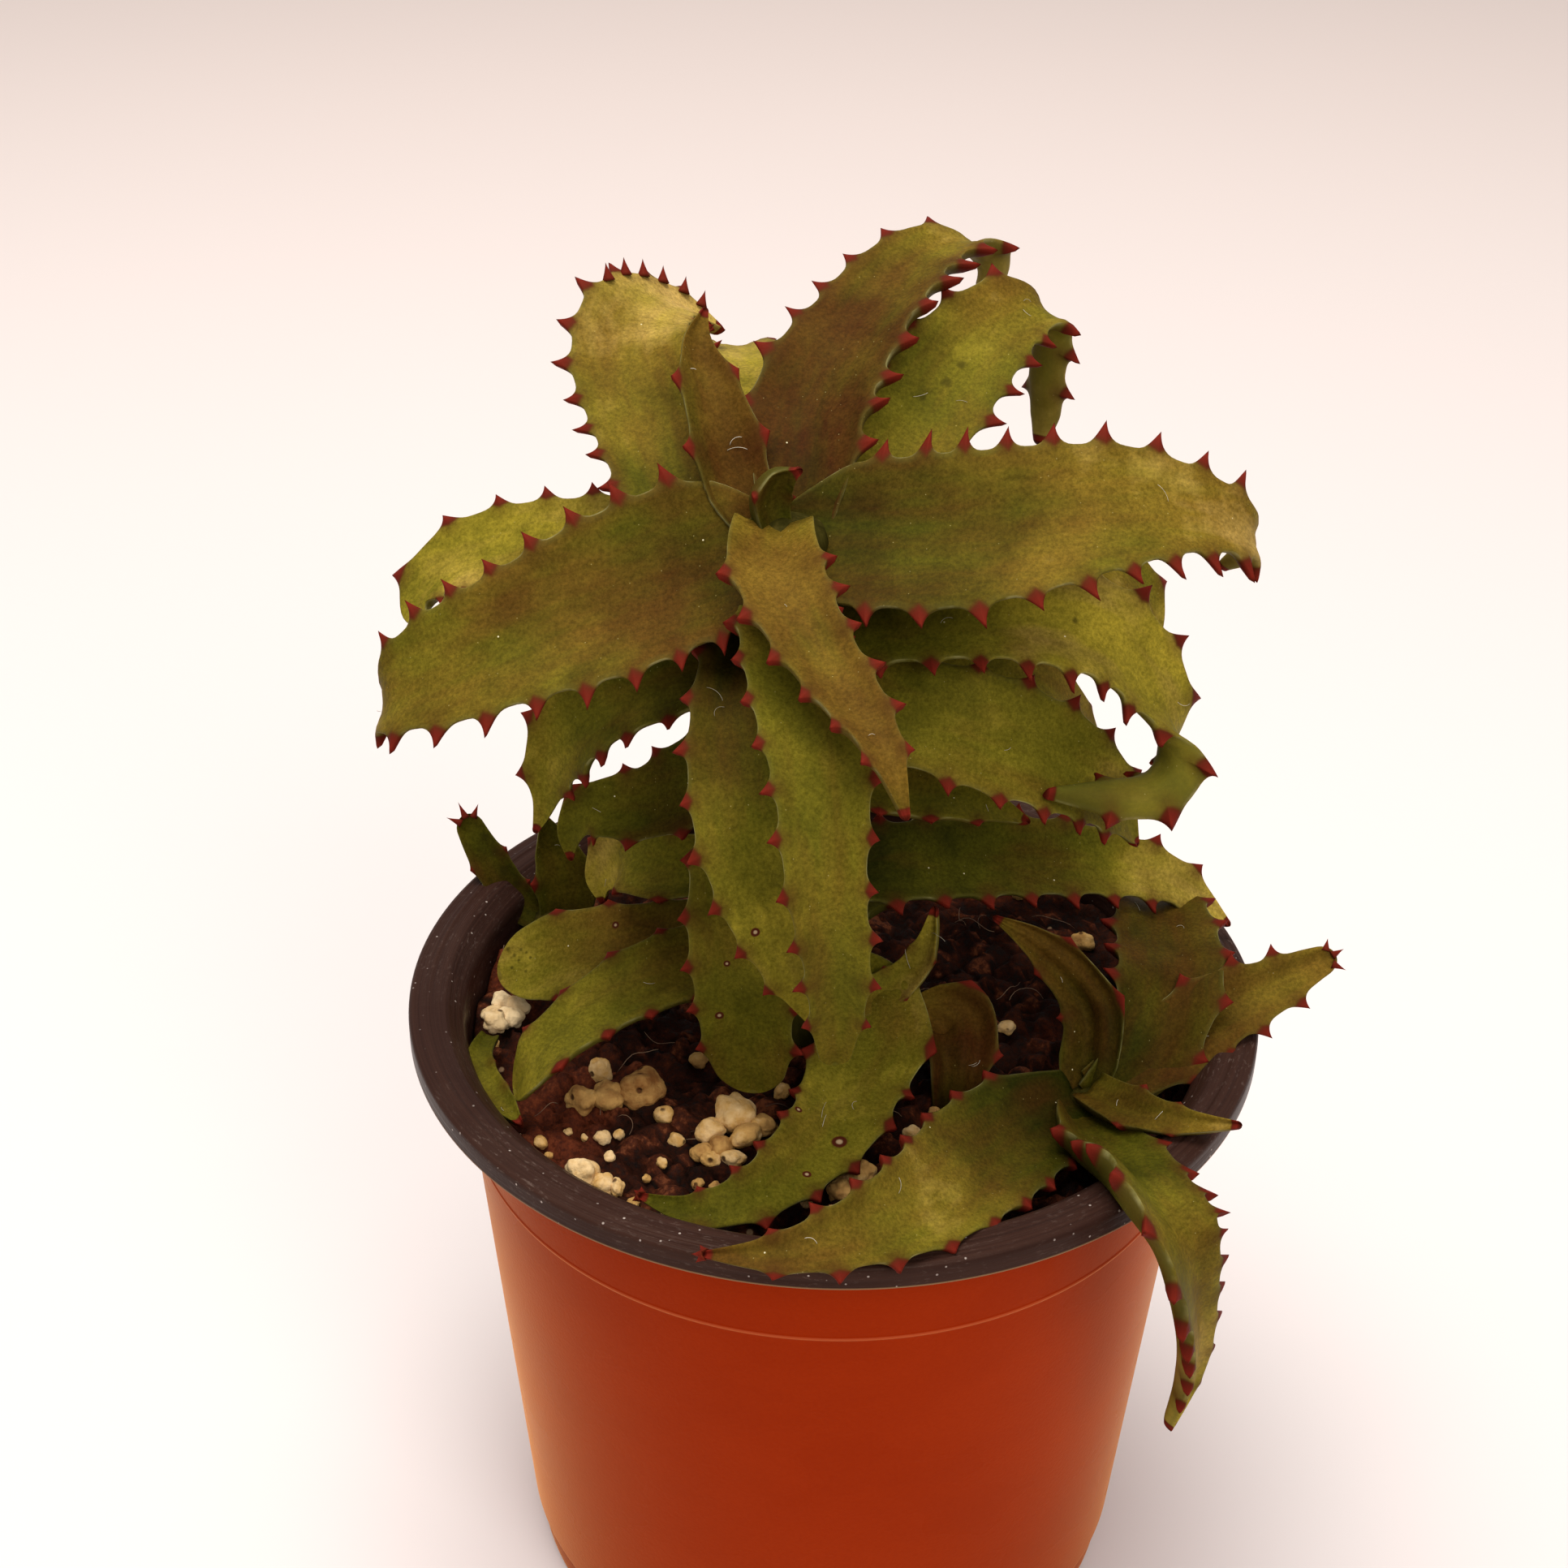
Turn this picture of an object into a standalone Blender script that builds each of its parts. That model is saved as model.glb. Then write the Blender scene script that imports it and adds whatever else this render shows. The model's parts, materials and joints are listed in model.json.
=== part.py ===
"""A potted aloe: a tall rosette and its pups, with toothed leaves, in a small nursery pot.

Lengths in this file are millimetres until a mesh is made; the scene itself is in metres,
+Z up, with the origin at the centre of the pot's flat base. The viewer of the plant stands
at -Y. Each leaf is one solid, lofted along a smooth route from its stem to its tip, with
the teeth of both margins as part of its outline.
"""
import math

import bmesh
import bpy
import numpy as np
from mathutils.bvhtree import BVHTree

MM = 0.001
GAP = 0.3                   # left between pieces that touch
CUT_GAP = 0.4               # the same between leaves, whose slanting teeth take some of it
MERGES = (0.004, 0.001, 0.01)   # points this near are made one after a cut: the first that holds

# Pot: a thin tapered wall, a turned-out rim and a flat base with drain holes
POT_HEIGHT = 90.0
RIM_RADIUS = 55.0
RIM_INNER_RADIUS = 50.0
RIM_SKIRT = 3.2             # how far the rim's outer edge hangs down
RIM_THICKNESS = 1.2
WALL_TOP_RADIUS = 49.0
WALL_FOOT_RADIUS = 42.4
FOOT_RADIUS = 41.4
FOOT_HEIGHT = 5.0
WALL = 1.1
BASE_THICKNESS = 1.4
SCRIBED_RING_DROP = 17.7    # the fine raised ring, measured down from the rim
SCRIBED_RING_PROUD = 0.25
DRAIN_HOLES = 6
DRAIN_HOLE_RADIUS = 4.0
DRAIN_CIRCLE_RADIUS = 26.0
POT_SIDES = 44

# Soil: fills the pot to a little under the rim, slightly mounded and crumbly
SOIL_EDGE_HEIGHT = 82.6
SOIL_MOUND = 1.2
SOIL_CRUMB = 0.5
SOIL_SIDES = 36
SOIL_RINGS = 6

# Leaves: shared proportions
LEAF_THICKNESS = 4.0        # at the root, along the middle
TIP_THICKNESS = 1.3
EDGE_THICKNESS = 0.7        # at the margins
TOOTH_HALF_BASE = 0.21      # of the pitch between two teeth
TOOTH_HOOK = 0.3            # how far a tooth leans to the leaf's tip, of its height
FIRST_TOOTH = 9.0           # from the leaf's root

# Stems: name, radius at the foot and the top, and points along the axis
STEMS = [
    ("stem_main", 6.5, 5.0, [(-4, 0, 60), (-4, -1, 90), (-5, -3, 120), (-6.5, -5.5, 145), (-7, -7, 158)]),
    ("stem_pup_right", 4.6, 3.0, [(32, -18, 66), (32, -18, 77), (32.5, -18, 87.5)]),
    ("stem_pup_left", 4.2, 3.4, [(-36.5, 17.5, 66), (-37, 18, 76), (-38, 18.5, 86)]),
]

# Leaves: name, pitch and height of the teeth, depth of the channel as a part of the width,
# route as (x, y, z, width), and the way the upper face looks, evenly spaced root to tip
LEAVES = [
    ("leaf_01_left_broad", 5.4, 2.7, 0.07,
     [(-7, -6, 155.5, 9), (-12.5, -9, 156.5, 17), (-17.5, -10, 155, 20), (-27.5, -12, 151, 20),
      (-36.5, -14, 147.5, 17), (-46.5, -15, 143, 14.5), (-53.5, -13, 138, 9), (-53, -6, 131.5, 1)],
     [(0.2, -0.6, 0.8), (0, -0.62, 0.78), (-0.2, -0.62, 0.75), (-0.8, -0.5, 0.4)]),
    ("leaf_02_right_broad", 5.5, 3, 0.06,
     [(-7, -6, 156, 9), (0, -8, 158, 18), (10, -10, 159.5, 19.5), (21.5, -10, 161.5, 18),
      (32.5, -8, 162.5, 15), (42.5, -5, 160, 9.5), (48, -1, 155, 6), (45.5, 3, 149.5, 1)],
     [(0, -0.6, 0.8), (0, -0.62, 0.78), (0.1, -0.55, 0.8), (0.8, -0.4, 0.5)]),
    ("leaf_03_front_narrow", 5.2, 1.9, 0.13,
     [(-8, -8, 160, 9), (-7.5, -18, 159.5, 10.5), (-4, -27, 156, 8.5), (1.5, -36, 152, 6.5),
      (5, -43, 149.5, 4), (7, -47, 145, 1)],
     [(0, -0.5, 0.85), (0.1, -0.6, 0.8), (0.35, -0.75, 0.5)]),
    ("leaf_04_young_dark", 6, 1.2, 0.2,
     [(-8.5, -6.5, 157.5, 6), (-12, -3, 161, 8), (-13.5, 0, 165, 8.2), (-15, 3, 168.5, 7.5),
      (-16.5, 6.5, 171.5, 6), (-17.5, 10, 174, 3.5), (-17, 13, 176, 1)],
     [(0.3, -0.8, 0.5), (0.3, -0.8, 0.5), (0.4, -0.8, 0.4)]),
    ("leaf_05_up_left", 4.2, 2.4, 0.08,
     [(-9.5, -5.5, 156, 8), (-18.5, 1, 160.5, 14.5), (-22.5, 9, 165, 15.5), (-25.5, 16, 169, 15.5),
      (-26, 24, 171.5, 13.5), (-23.5, 31, 171.5, 10.5), (-20, 36, 168.5, 6.5), (-16.5, 38, 165, 2)],
     [(0.1, -0.6, 0.8), (0, -0.75, 0.65), (0, -0.8, 0.5), (-0.1, -0.1, 1)]),
    ("leaf_06_up_right", 5.5, 2.6, 0.13,
     [(-6, -6, 156.5, 8), (-5, 0, 163, 12), (-4, 8, 168.5, 15), (0, 16, 173.5, 13.5), (5, 25, 177, 12),
      (10.5, 33, 178.5, 9), (15, 37, 178, 6), (17.5, 39, 175.5, 5.5), (18, 39.5, 172.5, 4),
      (17, 39.5, 170, 2.5)],
     [(0, -0.7, 0.7), (-0.3, -0.75, 0.55), (-0.45, -0.7, 0.5), (-0.15, -0.35, 0.9), (0.4, 0.85, 0.1)]),
    ("leaf_07_right_back", 5.5, 2.3, 0.07,
     [(-5, -5, 152, 8), (2, 1, 158.5, 11), (6, 6, 163, 13), (9.5, 11, 166, 13.5),
      (13, 16, 169.5, 13.5), (16.5, 20, 172, 12), (20.5, 24, 173.5, 9.5), (24.5, 27, 172.5, 7),
      (25.5, 28.5, 168.5, 5.5), (25, 28.5, 163.5, 5), (25, 28, 158, 4), (24.5, 27, 155, 2)],
     [(0, -0.7, 0.7), (0, -0.75, 0.6), (-0.1, -0.75, 0.6), (0, -0.7, 0.7), (0.6, 0.5, 0.3), (0.4, 0.9, 0)]),
    ("leaf_08_left_back", 5.3, 2.2, 0.08,
     [(-7, -5, 149.5, 8), (-16, 3, 151.5, 9.5), (-24.5, 7, 151, 9), (-33.5, 10, 149, 9),
      (-43, 12, 146, 10.5), (-49, 12, 143.5, 10), (-52, 11, 141, 8), (-53, 9, 138.5, 4.5),
      (-51, 6, 137.5, 1)],
     [(0, -0.55, 0.8), (0, -0.55, 0.8), (-0.3, -0.5, 0.75), (-0.6, -0.4, 0.6)]),
    ("leaf_09_back", 6.0, 1.5, 0.1,
     [(-7, -5, 153, 8), (-10, 10, 161, 9.5), (-12, 23, 164.5, 10.5), (-13.5, 35, 163.5, 10),
      (-15, 46, 159.5, 6), (-15, 53, 151.5, 1)],
     [(0, -0.6, 0.8), (0, -0.4, 0.9), (0, 0.3, 0.9)]),
    ("leaf_10_right_arch", 5.6, 2.6, 0.1,
     [(-6, -5, 145, 8), (3.5, -8, 147.5, 11.5), (9.5, -9, 149, 12.5), (17, -9.5, 150, 13),
      (25.5, -9.5, 149, 13), (32.5, -9, 145.5, 11.5), (37, -9, 140.5, 10), (40, -10, 135.5, 8),
      (40.5, -12, 131, 7.5), (38, -14.5, 128.5, 7), (32, -16.5, 128.5, 5.5), (24.5, -17.5, 129.5, 1)],
     [(0, -0.6, 0.8), (0, -0.6, 0.8), (0.1, -0.6, 0.8), (0.5, -0.6, 0.6), (0.5, 0.3, -0.75), (0.1, 0.3, -1)]),
    ("leaf_11_right_second", 5.6, 1.8, 0.07,
     [(-6, -5, 134.5, 8), (1.5, -11, 138, 11), (10, -14, 138, 13), (18.5, -15, 136, 14),
      (27.5, -13, 131, 12), (33.5, -10, 124.5, 8.5), (36.5, -8, 117.5, 1)],
     [(0, -0.6, 0.8), (0, -0.7, 0.7), (0.2, -0.7, 0.6), (0.8, -0.5, 0.3)]),
    ("leaf_12_front_centre", 5.6, 1.5, 0.09,
     [(-7, -6, 150, 8), (-6.5, -16, 152, 10.5), (-5, -24, 150.5, 11.5), (-3, -32, 147, 11.5),
      (-1.5, -39, 141.5, 10), (-1, -44, 134.5, 8.6), (0.5, -45, 123, 7), (0.5, -44, 115.5, 5.6),
      (0.5, -42, 109, 3.4)],
     [(0, -0.4, 0.9), (0, -0.7, 0.7), (0, -0.95, 0.2), (0.1, -1, 0)]),
    ("leaf_13_front_left", 5.6, 1.6, 0.09,
     [(-6.5, -5, 143, 8), (-11, -14, 145, 9), (-12, -22, 142, 9.5), (-11.5, -28, 138, 10.5),
      (-10, -33, 132.5, 11), (-7, -36, 124.5, 10), (-4, -37, 116.5, 6.5), (-2, -36, 109.5, 1)],
     [(0, -0.4, 0.9), (-0.1, -0.8, 0.6), (-0.1, -0.95, 0.2), (0, -1, 0.1)]),
    ("leaf_14_front_low", 5.8, 1.4, 0.08,
     [(-5, -3, 120, 8), (-10.5, -12, 122, 9.5), (-12, -18, 117.5, 10.5), (-11.5, -23, 111.5, 11.5),
      (-10.5, -25, 103.5, 11.5), (-10, -25, 96.5, 10.5), (-9.5, -24, 90.5, 7)],
     [(0, -0.5, 0.8), (-0.1, -0.9, 0.3), (-0.1, -1, -0.1)]),
    ("leaf_15_left_loop", 5.4, 1.8, 0.12,
     [(-6, -5, 136, 8), (-14, -7, 140, 9.5), (-22.5, -7.5, 138, 10.5), (-29, -7, 134.5, 11),
      (-33.5, -6.5, 129, 10.5), (-35.5, -6, 123.5, 6.5), (-36, -6, 119.5, 3), (-37, -6, 116, 1)],
     [(0, -0.6, 0.8), (-0.1, -0.6, 0.8), (-0.5, -0.6, 0.5), (-0.3, -0.8, -0.3)]),
    ("leaf_16_left_lower", 5.2, 1.5, 0.1,
     [(-5, -3, 126, 9), (-15, -5, 124.5, 11), (-19.5, -4.5, 121.5, 10.5), (-24, -3.5, 118.5, 9),
      (-29, -2.5, 117, 7.5), (-32, -2, 115.5, 5.5), (-33.5, -2, 112.5, 3.4), (-33.5, -2, 109.5, 1)],
     [(0, -0.6, 0.8), (-0.1, -0.7, 0.7), (-0.2, -0.8, 0.5)]),
    ("leaf_17_right_pale", 5.0, 1.0, 0.1,
     [(-5, -4, 124, 6), (2.5, -6, 124, 6.5), (9.5, -7, 123.5, 7), (16.5, -7, 122.5, 6), (23, -6, 119, 1)],
     [(0, -0.5, 0.85), (0.2, -0.5, 0.8)]),
    ("leaf_18_right_back", 5.6, 2.1, 0.09,
     [(-6, -3, 137.5, 8), (4, 6, 142, 10), (16, 13, 143, 13), (27.5, 19, 142, 11.5),
      (36, 23, 139, 9.5), (40.5, 24, 133.5, 6), (41, 22.5, 128, 1)],
     [(0, -0.5, 0.85), (0, -0.5, 0.85), (0.8, -0.3, 0.5)]),
    ("leaf_19_right_low", 5.8, 2, 0.09,
     [(-4.5, -2, 108, 8), (5, -1, 109, 10.5), (15.5, 3, 107.5, 11), (27.5, 7, 105.5, 10.5),
      (38, 10, 102.5, 8.5), (46.5, 12, 98, 6), (52.5, 12, 92.5, 1)],
     [(0, -0.55, 0.83), (0, -0.55, 0.83), (0.1, -0.6, 0.8), (0.6, -0.5, 0.6)]),
    ("leaf_20_left_finger", 4.6, 0.9, 0.14,
     [(-37.5, 19, 85, 4.5), (-43.5, 20, 87, 5.2), (-46.5, 21, 91, 5.2), (-49, 22.5, 94.5, 4.6),
      (-51, 24, 98, 3.6)],
     [(0.3, -0.9, 0.4), (0.3, -0.9, 0.4)]),
    ("leaf_21_left_upright", 5.0, 0.9, 0.12,
     [(-38, 18.5, 83, 6), (-37, 19.5, 90, 8.5), (-38.5, 21, 95.5, 6), (-40, 22, 100, 1)],
     [(0.2, -0.9, 0.4), (0.2, -0.9, 0.4)]),
    ("leaf_22_left_hooked", 5.2, 0.8, 0.1,
     [(-4.5, -1, 109, 7), (-16, 0, 107.5, 8), (-24, 2, 106, 9), (-28.5, 6, 104.5, 9),
      (-30.5, 8.5, 101, 7), (-31.5, 9.5, 97.5, 4), (-31, 9.5, 95, 1)],
     [(0, -0.6, 0.8), (-0.2, -0.6, 0.7), (-0.5, -0.8, 0.3)]),
    ("leaf_23_left_blunt", 6, 0.8, 0.05,
     [(-4.5, -1, 103, 7), (-14.5, -2, 99.5, 8.5), (-21, -1, 96.5, 10.5), (-30, 0, 94, 12),
      (-38, 1.5, 91, 12), (-43.5, 1.5, 88.5, 8.5)],
     [(0, -0.6, 0.8), (0, -0.55, 0.83), (-0.3, -0.5, 0.8)]),
    ("leaf_24_left_arch", 6.0, 0.9, 0.04,
     [(-4.5, -1, 96, 8), (-12.5, -6, 99, 10), (-18, -10, 99.5, 10.5), (-25, -14, 98.5, 10),
      (-32, -19, 96, 9.5), (-37, -22.5, 92.5, 8.5), (-39, -22, 88, 5)],
     [(0, -0.5, 0.85), (-0.3, -0.5, 0.8), (-0.8, -0.3, 0.4)]),
    ("leaf_25_rim_small", 5, 0.7, 0.1,
     [(-44, -8.5, 86, 2.5), (-44.5, -14.5, 87, 3.4), (-42.5, -20, 87, 3.6), (-40, -24, 87, 3),
      (-38, -27, 87, 1)],
     [(0, -0.5, 0.8), (0, -0.5, 0.8)]),
    ("leaf_26_front_crescent", 5.8, 1.5, 0.06,
     [(-4, -1, 91.5, 8), (3, -5, 92.5, 11), (6, -12.5, 91.5, 13), (3.5, -19, 90, 12.5),
      (1, -27, 89, 11), (-3, -34, 88.5, 9), (-8, -40.5, 88.5, 6.5), (-15, -43.5, 88, 4),
      (-21.5, -41, 87.5, 1)],
     [(0, -0.5, 0.85), (0, -0.5, 0.85), (0, -0.6, 0.8), (0, -0.6, 0.8)]),
    ("leaf_27_front_small", 4.6, 0.7, 0.1,
     [(-4, -2, 96, 5), (3.5, -7.5, 93, 5.5), (7.5, -6, 93.5, 5), (11, -4.5, 97, 3.8),
      (12.5, -3, 103, 1)],
     [(0, -0.6, 0.8), (-0.3, -0.6, 0.7)]),
    ("leaf_28_front_folded", 4.6, 1.1, 0.16,
     [(15.5, -17.5, 82, 5), (16, -16, 87, 7), (16.5, -13, 90.5, 9), (16, -10, 91.8, 9),
      (13, -8, 92, 6), (9.5, -6.5, 91, 1)],
     [(0.2, -0.9, 0.4), (0.1, -0.8, 0.6), (0, -0.5, 0.9)]),
    ("leaf_29_front_low", 6, 1.5, 0.09,
     [(31.5, -18, 86.5, 8), (24.5, -26.5, 89, 14), (18, -36, 91, 15), (10.5, -47.5, 93.5, 11.5),
      (2.5, -54, 94.2, 7.5), (-5, -57, 94, 4.5), (-13, -56, 92.5, 1)],
     [(0, -0.5, 0.85), (0, -0.6, 0.8), (0, -0.6, 0.8)]),
    ("leaf_30_pup_folded", 6, 1.1, 0.2,
     [(31.5, -18, 86, 5), (32, -16, 89.5, 7.5), (32.5, -13, 94.5, 7.5), (29, -9, 99, 6),
      (24.5, -7.5, 102.5, 3.5), (20.5, -6.5, 104.5, 1)],
     [(-0.3, -0.8, 0.4), (-0.3, -0.8, 0.5), (-0.2, -0.7, 0.6)]),
    ("leaf_31_pup_pointed", 6.0, 0.9, 0.14,
     [(32, -18, 88, 5), (36, -25, 90.5, 5.5), (41.5, -29.5, 92, 3.5), (48, -32, 93.5, 1)],
     [(0, -0.6, 0.8), (0, -0.6, 0.8)]),
    ("leaf_32_pup_over_rim", 5.2, 2.2, 0.18,
     [(31.5, -18, 85.5, 6), (32, -26, 88.5, 8.5), (35.5, -35, 92, 10.5), (38.5, -44, 93.8, 11),
      (41, -49, 91.8, 10), (43, -50, 85.5, 9), (44.5, -47.5, 76, 7), (45, -44.5, 64.5, 5),
      (43, -43.5, 55.5, 1)],
     [(0.1, -0.3, 0.95), (0.3, -0.3, 0.9), (0.55, -0.4, 0.75), (0.75, -0.55, 0.4), (0.85, -0.5, 0.15),
      (0.85, -0.5, 0.1)]),
    ("leaf_33_pup_broad", 5.8, 1.9, 0.1,
     [(33, -18, 85, 6), (39.5, -14, 90.5, 11), (42.5, -8, 96.5, 13.5), (43, 3, 97.5, 13),
      (43, 12, 96.5, 11), (43, 17, 93, 6), (42, 20, 87.5, 1)],
     [(0, -0.9, 0.4), (0, -0.9, 0.4), (0, -0.6, 0.8), (0, 0.5, 0.8)]),
    ("leaf_34_pup_out", 5, 1.8, 0.12,
     [(33, -17.5, 86.5, 6), (42, -13, 90.5, 10), (49, -9, 93.5, 9.5), (55.5, -6, 95, 7),
      (60.5, -3, 96, 4.8), (63.5, -2, 97, 3.4)],
     [(0, -0.7, 0.7), (0, -0.7, 0.7), (0, -0.7, 0.7)]),
    ("leaf_35_back_right", 5.6, 1.8, 0.1,
     [(-5, -3, 120, 8), (8, 8, 126, 10), (18, 15, 127, 11), (27, 20, 123.5, 10), (33, 24, 117, 7),
      (36, 27, 109, 1)],
     [(0, -0.4, 0.9), (0.1, -0.5, 0.8), (0.6, -0.1, 0.6)]),
    ("leaf_36_back_left", 7.5, 1.6, 0.1,
     [(-6, -4, 122, 8), (-14, 12, 126, 11), (-20, 24, 125, 12), (-25, 34, 118, 9),
      (-28, 42, 105, 1)],
     [(0, -0.3, 1), (-0.3, 0.3, 0.9), (-0.5, 0.8, 0.3)]),
    ("leaf_37_back_low", 7.5, 1.6, 0.1,
     [(-4.5, -1, 105, 8), (-4, 14, 109, 11), (-3, 27, 107, 11), (-1, 38, 100, 8), (0, 45, 91, 1)],
     [(0, -0.3, 1), (0, 0.3, 0.9), (0, 0.9, 0.4)]),
    ("leaf_38_back_low_right", 7.5, 1.6, 0.1,
     [(-4, 0, 98, 8), (8, 13, 100.5, 10), (18, 23, 100, 10), (28, 31, 95.5, 7), (35, 35, 92, 1)],
     [(0, -0.3, 1), (0.3, 0.3, 0.9), (0.5, 0.6, 0.6)]),
    ("leaf_39_bud", 3.2, 1.0, 0.2,
     [(-7.5, -8.5, 158.5, 4), (-8, -8, 161.5, 4.5), (-7, -8, 164, 3.2), (-5.5, -8, 165.2, 1)],
     [(0.5, -0.8, 0.4), (0.5, -0.8, 0.4)]),
]

# Pumice: clusters of grains lying on the soil, each grain as (x, y, radius)
PUMICE = [
    ("pumice_left", [(-44.9, -0.4, 1.9), (-44.0, 2.2, 1.8), (-42.4, -1.4, 1.9), (-44.1, -3.2, 1.8),
                     (-41.9, 1.5, 1.6)]),
    ("pumice_centre", [(-11.6, -21.9, 3.3), (-8.2, -23.8, 1.9), (-14.7, -24.6, 2.2), (-13.0, -27.4, 2.1),
                       (-15.6, -28.2, 1.8), (-10.2, -26.2, 2.1), (-14.3, -29.6, 1.4), (-11.6, -29.4, 1.6)]),
    ("pumice_front_left", [(-31.0, -19.1, 2.1), (-27.9, -18.7, 2.2), (-23.8, -16.6, 3.2)]),
    ("pumice_rim_left", [(-29.6, -33.1, 2.2), (-27.0, -34.4, 1.8), (-25.3, -34.9, 1.2)]),
    ("pumice_front", [(3.5, -32.0, 2.5), (1.5, -30.5, 1.6), (1.6, -34.4, 2.0)]),
]
GRAIN_SINK = 0.35           # how far a grain lies in the soil, of its radius
GRAIN_LUMPS = 0.12

GREEN = (0.16, 0.19, 0.025)
BRONZE = (0.17, 0.115, 0.03)
LEAF_COLOURS = {
    "leaf_01_left_broad": BRONZE, "leaf_02_right_broad": BRONZE, "leaf_03_front_narrow": BRONZE,
    "leaf_04_young_dark": (0.11, 0.055, 0.03), "leaf_05_up_left": (0.22, 0.18, 0.05),
    "leaf_06_up_right": BRONZE, "leaf_39_bud": (0.11, 0.055, 0.03),
}


def clear_scene():
    for item in list(bpy.data.objects):
        bpy.data.objects.remove(item, do_unlink=True)


def material(name, colour, roughness=0.5):
    """A Principled material with one colour."""
    found = bpy.data.materials.get(name)
    if found:
        return found
    made = bpy.data.materials.new(name)
    made.use_nodes = True
    shader = made.node_tree.nodes["Principled BSDF"]
    shader.inputs["Base Color"].default_value = (*colour, 1.0)
    shader.inputs["Roughness"].default_value = roughness
    shader.inputs["Metallic"].default_value = 0.0
    return made


def solid(name, points, faces, finish=None, smooth=False):
    """A mesh object from points in millimetres; quads, which may be bent, are split in two."""
    halves = []
    for face in faces:
        if len(face) == 4:
            halves += [[face[0], face[1], face[2]], [face[0], face[2], face[3]]]
        else:
            halves.append(face)
    faces = halves
    mesh = bpy.data.meshes.new(name)
    mesh.from_pydata([tuple(float(c) * MM for c in p) for p in points], [], faces)
    mesh.update()
    if smooth:
        mesh.shade_smooth()
        mesh.set_sharp_from_angle(angle=math.radians(40))
    made = bpy.data.objects.new(name, mesh)
    bpy.context.scene.collection.objects.link(made)
    if finish:
        mesh.materials.append(finish)
    return made


def boolean(target, operand, operation, solver="EXACT"):
    """Apply one Boolean and remove the operand; a collection of operands is joined in one go."""
    step = target.modifiers.new("Cut", "BOOLEAN")
    step.operation = operation
    step.solver = solver
    if isinstance(operand, bpy.types.Collection):
        step.operand_type = "COLLECTION"
        step.collection = operand
        spent = list(operand.objects)
    else:
        step.object = operand
        spent = [operand]
    for choice in (solver, "EXACT"):
        step.solver = choice
        view = bpy.context.evaluated_depsgraph_get()
        result = bpy.data.meshes.new_from_object(target.evaluated_get(view))
        if len(result.vertices) not in (0, len(target.data.vertices)):
            break
    target.modifiers.clear()
    old = target.data
    target.data = result
    result.name = target.name
    bpy.data.meshes.remove(old)
    for item in spent:
        bpy.data.objects.remove(item, do_unlink=True)
    if isinstance(operand, bpy.types.Collection):
        bpy.data.collections.remove(operand)


def is_closed(shape):
    return all(len(edge.link_faces) == 2 for edge in shape.edges)


def keep_largest(target):
    """Drop what a cut leaves loose: only the island with the most volume stays."""
    shape = bmesh.new()
    shape.from_mesh(target.data)
    shape.faces.ensure_lookup_table()
    left = set(shape.faces)
    islands = []
    while left:
        front = [left.pop()]
        island = set(front)
        while front:
            face = front.pop()
            for edge in face.edges:
                for other in edge.link_faces:
                    if other in left:
                        left.remove(other)
                        island.add(other)
                        front.append(other)
        islands.append(island)
    if len(islands) > 1:
        def extent(island):
            return sum(face.calc_area() for face in island)
        islands.sort(key=extent)
        for island in islands[:-1]:
            bmesh.ops.delete(shape, geom=list(island), context="FACES")
    shape.to_mesh(target.data)
    shape.free()
    whole = target.data.copy()
    for method, dist in [(m, d) for d in MERGES for m in ("BEAUTY", "EAR_CLIP")]:
        shape = bmesh.new()
        shape.from_mesh(whole)
        bmesh.ops.triangulate(shape, faces=shape.faces, ngon_method=method)
        bmesh.ops.remove_doubles(shape, verts=shape.verts, dist=dist * MM)
        bmesh.ops.dissolve_degenerate(shape, edges=shape.edges, dist=dist * MM)
        if is_closed(shape):
            shape.to_mesh(target.data)
            shape.free()
            break
        shape.free()
    bpy.data.meshes.remove(whole)


def smooth_route(points):
    """A natural cubic spline through the points, as a function of the chord length."""
    points = np.asarray(points, float)
    steps = np.linalg.norm(np.diff(points, axis=0), axis=1)
    knots = np.concatenate([[0.0], np.cumsum(steps)])
    count = len(points)
    system = np.zeros((count, count))
    right = np.zeros((count, points.shape[1]))
    system[0, 0] = system[-1, -1] = 1.0
    for i in range(1, count - 1):
        system[i, i - 1] = steps[i - 1]
        system[i, i] = 2.0 * (steps[i - 1] + steps[i])
        system[i, i + 1] = steps[i]
        right[i] = 6.0 * ((points[i + 1] - points[i]) / steps[i] - (points[i] - points[i - 1]) / steps[i - 1])
    bend = np.linalg.solve(system, right)

    def at(s):
        s = np.asarray(s, float)
        i = np.clip(np.searchsorted(knots, s, side="right") - 1, 0, count - 2)
        a = ((knots[i + 1] - s) / steps[i])[:, None]
        b = ((s - knots[i]) / steps[i])[:, None]
        pull = ((a ** 3 - a) * bend[i] + (b ** 3 - b) * bend[i + 1]) * (steps[i][:, None] ** 2) / 6.0
        return a * points[i] + b * points[i + 1] + pull

    return at, knots


def unit(vectors):
    return vectors / np.linalg.norm(vectors, axis=-1, keepdims=True)


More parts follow.
